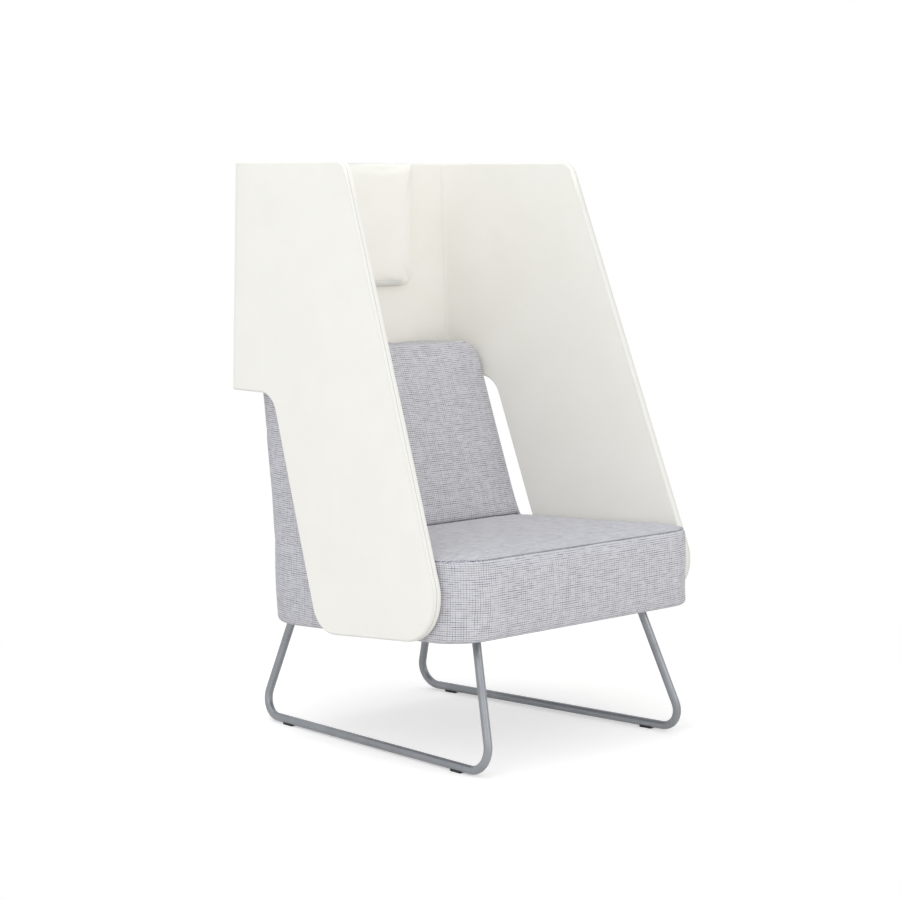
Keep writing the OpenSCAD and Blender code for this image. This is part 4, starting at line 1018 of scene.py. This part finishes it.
def weave_nodes(m, u, v):
    """Heathered crosshatch: rows and columns of threads that come and go, with dark and pale slubs."""
    v2 = m.plus(v, m.times(m.patches(u, v, 9, 30), 0.0018))
    u2 = m.plus(u, m.times(m.patches(u, v, 30, 9), 0.0030))

    def thread(across, pitch, sharp):
        """A thread's profile and its number."""
        k = m.math("DIVIDE", across, pitch)
        turn = m.times(m.minus(m.math("FRACT", k), 0.5), tau)
        return m.ramp(m.math("COSINE", turn), sharp, 1.0), m.math("FLOOR", k)

    def slub(along, number, rate, low, high, seed):
        """Stretches of a thread that stand out, at their own places on each thread."""
        return m.ramp(m.noise(m.vec(m.times(along, rate), m.times(number, 7.31), seed), 1, 0), low, high)
    row, row_k = thread(v2, ROW_PITCH, -0.05)
    thin, _ = thread(v2, ROW_PITCH, 0.42)
    column, column_k = thread(u2, COLUMN_PITCH, 0.45)
    rows = m.ramp(m.patches(u, v, 26, 50), 0.34, 0.66, 0.70)
    columns = m.ramp(m.noise(m.vec(m.times(u, 70), m.times(v, 12), 5.0), 1, 1), 0.36, 0.62, 0.45)
    dash = slub(u, row_k, 46, 0.45, 0.55, 3.0)
    long_dash = slub(u, row_k, 20, 0.50, 0.58, 11.0)
    pale = slub(u, m.plus(row_k, 0.37), 64, 0.46, 0.64, 29.0)
    drop = slub(v, column_k, 18, 0.44, 0.56, 17.0)
    dark = m.times(row, m.times(rows, 0.26))
    for shape, where, weight in ((thin, dash, 0.31), (thin, long_dash, 0.22),
                                 (column, columns, 0.26), (column, drop, 0.20)):
        dark = m.plus(dark, m.times(m.times(shape, where), weight))
    dark = m.minus(dark, m.times(m.times(m.minus(1.0, row), pale), 0.11))
    fine = m.times(m.wave(u, 3900), m.wave(v, 3900))
    return dark, m.plus(m.times(fine, 0.35), m.times(dark, -1.0))


def grey_fabric():
    """Light grey crosshatch cloth, with painted shade darkening the tucked crease between the seat and the
    backrest.
    """
    m = Mat("grey_crosshatch", 0.88, sheen=0.05, specular=0.3)
    u, v, _ = m.split(m.node("ShaderNodeUVMap", uv_map="weave")[0])
    dark, relief = weave_nodes(m, u, v)
    hair = m.patches(u, v, 420, 420, 2, 0.7)
    tone = m.plus(dark, m.ramp(hair, 0.3, 0.7, -0.09, 0.09))
    cloth = m.mix(m.ramp(tone, -0.3, 1.15), srgb(213, 212, 217), srgb(80, 80, 85))
    x, y, z = m.split(m.place())
    # Painted shade: along the crease line, inside the body's sides, the cloth is mixed towards a dark grey
    fold = m.plus(m.off(y, CREASE), m.off(z, CREASE_Z))
    edge = body_half(CREASE, CREASE_Z)
    inside = m.ramp(m.math("ABSOLUTE", x), edge - 0.014, edge - 0.007, 1.0, 0.0)
    painted_crease_shade = m.times(inside, m.ramp(fold, 0.004, 0.014, 0.70, 0.0))
    m.colour(m.mix(painted_crease_shade, cloth, srgb(62, 62, 68)))
    m.rough(m.ramp(dark, 0.0, 1.0, 0.86, 0.95))
    m.bump(relief, 0.3, 0.0006)
    return m.owner


def welt_fabric():
    """The same cloth, cut on the bias, on the thin welts."""
    m = Mat("grey_welt", 0.88, sheen=0.08, specular=0.3)
    p = m.place()
    x, y, z = m.split(p)
    twist = m.math("SINE", m.plus(m.times(m.plus(x, y), 900), m.times(z, 1300)))
    tone = m.ramp(m.plus(m.times(twist, 0.35), m.noise(p, 240, 2, 0.6)), 0.2, 0.95)
    m.colour(m.mix(tone, srgb(100, 100, 108), srgb(196, 196, 202)))
    m.bump(twist, 0.3, 0.0004)
    return m.owner


def satin_paint():
    m = Mat("satin_silver_paint", 0.36, metallic=0.55, specular=0.5)
    p = m.place()
    flake, cloud = m.noise(p, 2600, 2, 0.7), m.noise(p, 18, 2)
    paint = m.mix(m.ramp(cloud, 0.3, 0.7), srgb(136, 139, 143), srgb(145, 148, 152))
    m.colour(m.mix(m.ramp(flake, 0.55, 0.75, 0.0, 0.5), paint, srgb(182, 185, 190)))
    m.rough(m.ramp(m.noise(p, 60, 3), 0.3, 0.7, 0.33, 0.42))
    m.bump(m.noise(p, 900, 3, 0.6), 0.05, 0.0002)
    return m.owner


def zinc_steel():
    m = Mat("zinc_plated_steel", 0.35, metallic=1.0)
    p = m.place()
    spangle = m.noise(p, 90, 4, 0.7)
    m.colour(m.mix(m.ramp(spangle, 0.3, 0.7), srgb(176, 180, 184), srgb(206, 208, 210)))
    m.rough(m.ramp(m.noise(p, 300, 2), 0.3, 0.7, 0.28, 0.44))
    m.bump(spangle, 0.04, 0.0003)
    return m.owner


def birch():
    m = Mat("birch_plywood", 0.6, specular=0.3)
    x, y, z = m.split(m.place())
    grain = m.noise(m.vec(m.times(x, 6), m.times(y, 60), m.times(z, 60)), 4, 4, 0.6)
    wood = m.mix(m.ramp(grain, 0.3, 0.7), srgb(214, 184, 140), srgb(190, 152, 104))
    m.colour(m.mix(m.ramp(m.wave(z, 2400), -1, 1, 0.0, 0.18), wood, srgb(150, 112, 70)))
    m.bump(grain, 0.1, 0.0005)
    return m.owner


def webbing():
    m = Mat("black_webbing", 0.9, sheen=0.1, specular=0.2)
    p = m.place()
    x, y, z = m.split(p)
    weave = m.times(m.wave(x, 3200), m.wave(m.plus(y, z), 3200))
    tone = m.ramp(m.plus(m.times(weave, 0.4), m.noise(p, 500, 2)), 0.0, 1.2)
    m.colour(m.mix(tone, srgb(22, 22, 24), srgb(52, 52, 55)))
    m.bump(weave, 0.25, 0.0004)
    return m.owner


def black_nylon():
    m = Mat("black_nylon", 0.5, specular=0.4)
    grain = m.noise(m.place(), 1400, 2, 0.6)
    m.colour(m.mix(grain, srgb(24, 24, 26), srgb(40, 40, 42)))
    m.rough(m.ramp(grain, 0.3, 0.7, 0.45, 0.6))
    m.bump(grain, 0.12, 0.0002)
    return m.owner


# Materials on the CAD pieces
CREAM, GREY, WELT = cream_fabric(), grey_fabric(), welt_fabric()
PAINT, WOOD, WEB = satin_paint(), birch(), webbing()
by_slot = {"cream_fabric": CREAM, "grey_fabric": GREY, "painted_tube": PAINT, "zinc_steel": zinc_steel(),
           "plywood": WOOD, "foam": WOOD, "webbing": WEB, "glide_plastic": black_nylon()}
for part in frame["record"]["subparts"]:
    ob = frame["nodes"][part["node"]]
    ob.data.materials.clear()
    ob.data.materials.append(by_slot[part["material_slot"]])

# Body
body, low_rings, high_rings = build_body(GREY)
edges = pin_points(low_rings, high_rings)
pinned = [v.index for v in body.data.vertices if distance(edges, *v.co) < PIN_REACH]
swell(body, cap=[body_cap(v.normal) for v in body.data.vertices], pressure=3.5, pinned=pinned)
subdivide(body)
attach(body, "root")
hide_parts("seat_cover", "back_cover", "seat_foam", "front_foam", "back_foam")

# Welts: round the seat's top and down the body's rear corners
seat_welt = tube("seat_welt", seat_welt_path(low_rings), SEAT_WELT_R, WELT, WELT_SIDES)
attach(seat_welt, "root")
for side, word in SIDES:
    path = rear_welt_path(low_rings, high_rings)
    welt = tube(f"{word}_rear_welt", path, REAR_WELT_R, WELT, WELT_SIDES, side)
    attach(welt, "root")

# Dust sheet
outline = sheet_outline()
v, f, u = patch(outline, 0.025, sheet_place)
dust = piece("dust_sheet", v, f, WEB, 1e-6, u)
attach(dust, "root")
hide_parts("dust_cover")

# Screen
for side, word in SIDES:
    wing = build_wing(f"{word}_wing", CREAM, side)
    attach(wing, "root")
    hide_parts(f"{word}_wing_cover")
panel = build_rear_panel(CREAM)
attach(panel, "root")
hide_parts("rear_panel_cover")

pad = build_pad(CREAM)
pinned = [v.index for v in pad.data.vertices if v.co.y > PANEL_FACE - PAD_PINNED]
swell(pad, cap=0.004, pressure=4.0, pinned=pinned)
subdivide(pad)
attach(pad, "root")
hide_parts("headrest_pad")

# Sled base
path = loop_path()
for side, word in SIDES:
    loop = tube(f"{word}_loop", path, TUBE_R, PAINT, TUBE_SIDES, side)
    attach(loop, "root")
    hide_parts(f"{word}_sled_loop")
for side, word in SIDES:
    for which, end, before in (("front", path[0], path[1]), ("rear", path[-1], path[-2])):
        weld = build_weld(f"{word}_{which}_weld", PAINT, end, before, side)
        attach(weld, "root")

# Floor, light and camera
WORLD, FLOOR_GLOW, FLOOR_HALF = 0.74, 0.37, 30
# The floor turns from its own colour to plain white between these distances from the chair's middle
FLOOR_NEAR, FLOOR_FAR = 0.75, 1.6
COOL, WARM = (0.972, 0.995, 1.03), (1.01, 0.99, 0.955)
# The point at which the lamps aim
AIM = (0, 0, 0.7)
scene = bpy.context.scene
scene.view_settings.view_transform = "Standard"


def seen(g):
    """1 for what the camera, a gloss or a clear part sees, and 0 for the light that falls on the object."""
    ray = g.node("ShaderNodeLightPath")
    total = g.math("MAXIMUM", ray["Is Camera Ray"], ray["Is Glossy Ray"])
    return g.math("MAXIMUM", total, ray["Is Transmission Ray"])


def floor_white():
    """A pale floor that glows a little where it is seen, and is plain white far out."""
    g = Graph(bpy.data.materials.new("floor_white"), clear=True)
    look = seen(g)
    diffuse = g.node("ShaderNodeBsdfDiffuse", Color=(0.84, 0.82, 0.795, 1))[0]
    glow = g.node("ShaderNodeEmission", Strength=g.times(look, FLOOR_GLOW))[0]
    near = g.node("ShaderNodeAddShader", diffuse, glow)[0]
    white = g.node("ShaderNodeEmission", Strength=1.0)[0]
    out = g.node("ShaderNodeVectorMath", g.place(), operation="LENGTH")["Value"]
    away = g.times(g.ramp(out, FLOOR_NEAR, FLOOR_FAR), look)
    g.node("ShaderNodeOutputMaterial", g.node("ShaderNodeMixShader", away, near, white)[0])
    return g.owner


def studio():
    """A soft cool world that is seen as plain white."""
    g = Graph(bpy.data.worlds.new("studio"), clear=True)
    soft = g.node("ShaderNodeBackground", Color=(*COOL, 1), Strength=WORLD)[0]
    blank = g.node("ShaderNodeBackground", Strength=1.0, Color=(1, 1, 1, 1))[0]
    g.node("ShaderNodeOutputWorld", g.node("ShaderNodeMixShader", seen(g), soft, blank)[0])
    return g.owner


def lamp(name, place, size, power, colour):
    data = bpy.data.lights.new(name, "AREA")
    data.color = colour
    data.shape = "RECTANGLE"
    data.size, data.size_y = size
    data.energy = power
    ob = bpy.data.objects.new(name, data)
    ob.location = place
    ob.rotation_euler = (Vector(AIM) - Vector(place)).to_track_quat("-Z", "Y").to_euler()
    scene.collection.objects.link(ob)


floor_me = bpy.data.meshes.new("floor")
corners = [(x * FLOOR_HALF, y * FLOOR_HALF, 0) for x, y in ((-1, -1), (1, -1), (1, 1), (-1, 1))]
floor_me.from_pydata(corners, [], [(0, 1, 2, 3)])
floor_me.materials.append(floor_white())
floor = bpy.data.objects.new("floor", floor_me)
scene.collection.objects.link(floor)
scene.world = studio()

lamp("left_low", (-4.2, -0.6, 1.6), (3.0, 2.4), 16, COOL)
lamp("left_front", (-3.4, -2.6, 3.0), (2.6, 2.6), 36, COOL)
lamp("front", (0.5, -4.3, 1.5), (2.6, 2.2), 37, WARM)
lamp("top", (-0.9, 0.3, 4.1), (2.8, 2.8), 35, COOL)

# Where the camera stands, its turn about the upright axis and how far it looks down
EYE, TURN, DOWN = (-3.9457, -3.9760, 1.2579), radians(-44.552), radians(6.258)
cam = bpy.data.cameras.new("camera")
cam.lens, cam.sensor_width, cam.clip_end = 98.89, 36, 100
eye = bpy.data.objects.new("camera", cam)
eye.matrix_world = Matrix.Translation(EYE) @ Euler((pi / 2 - DOWN, 0, TURN)).to_matrix().to_4x4()
scene.collection.objects.link(eye)
scene.camera = eye
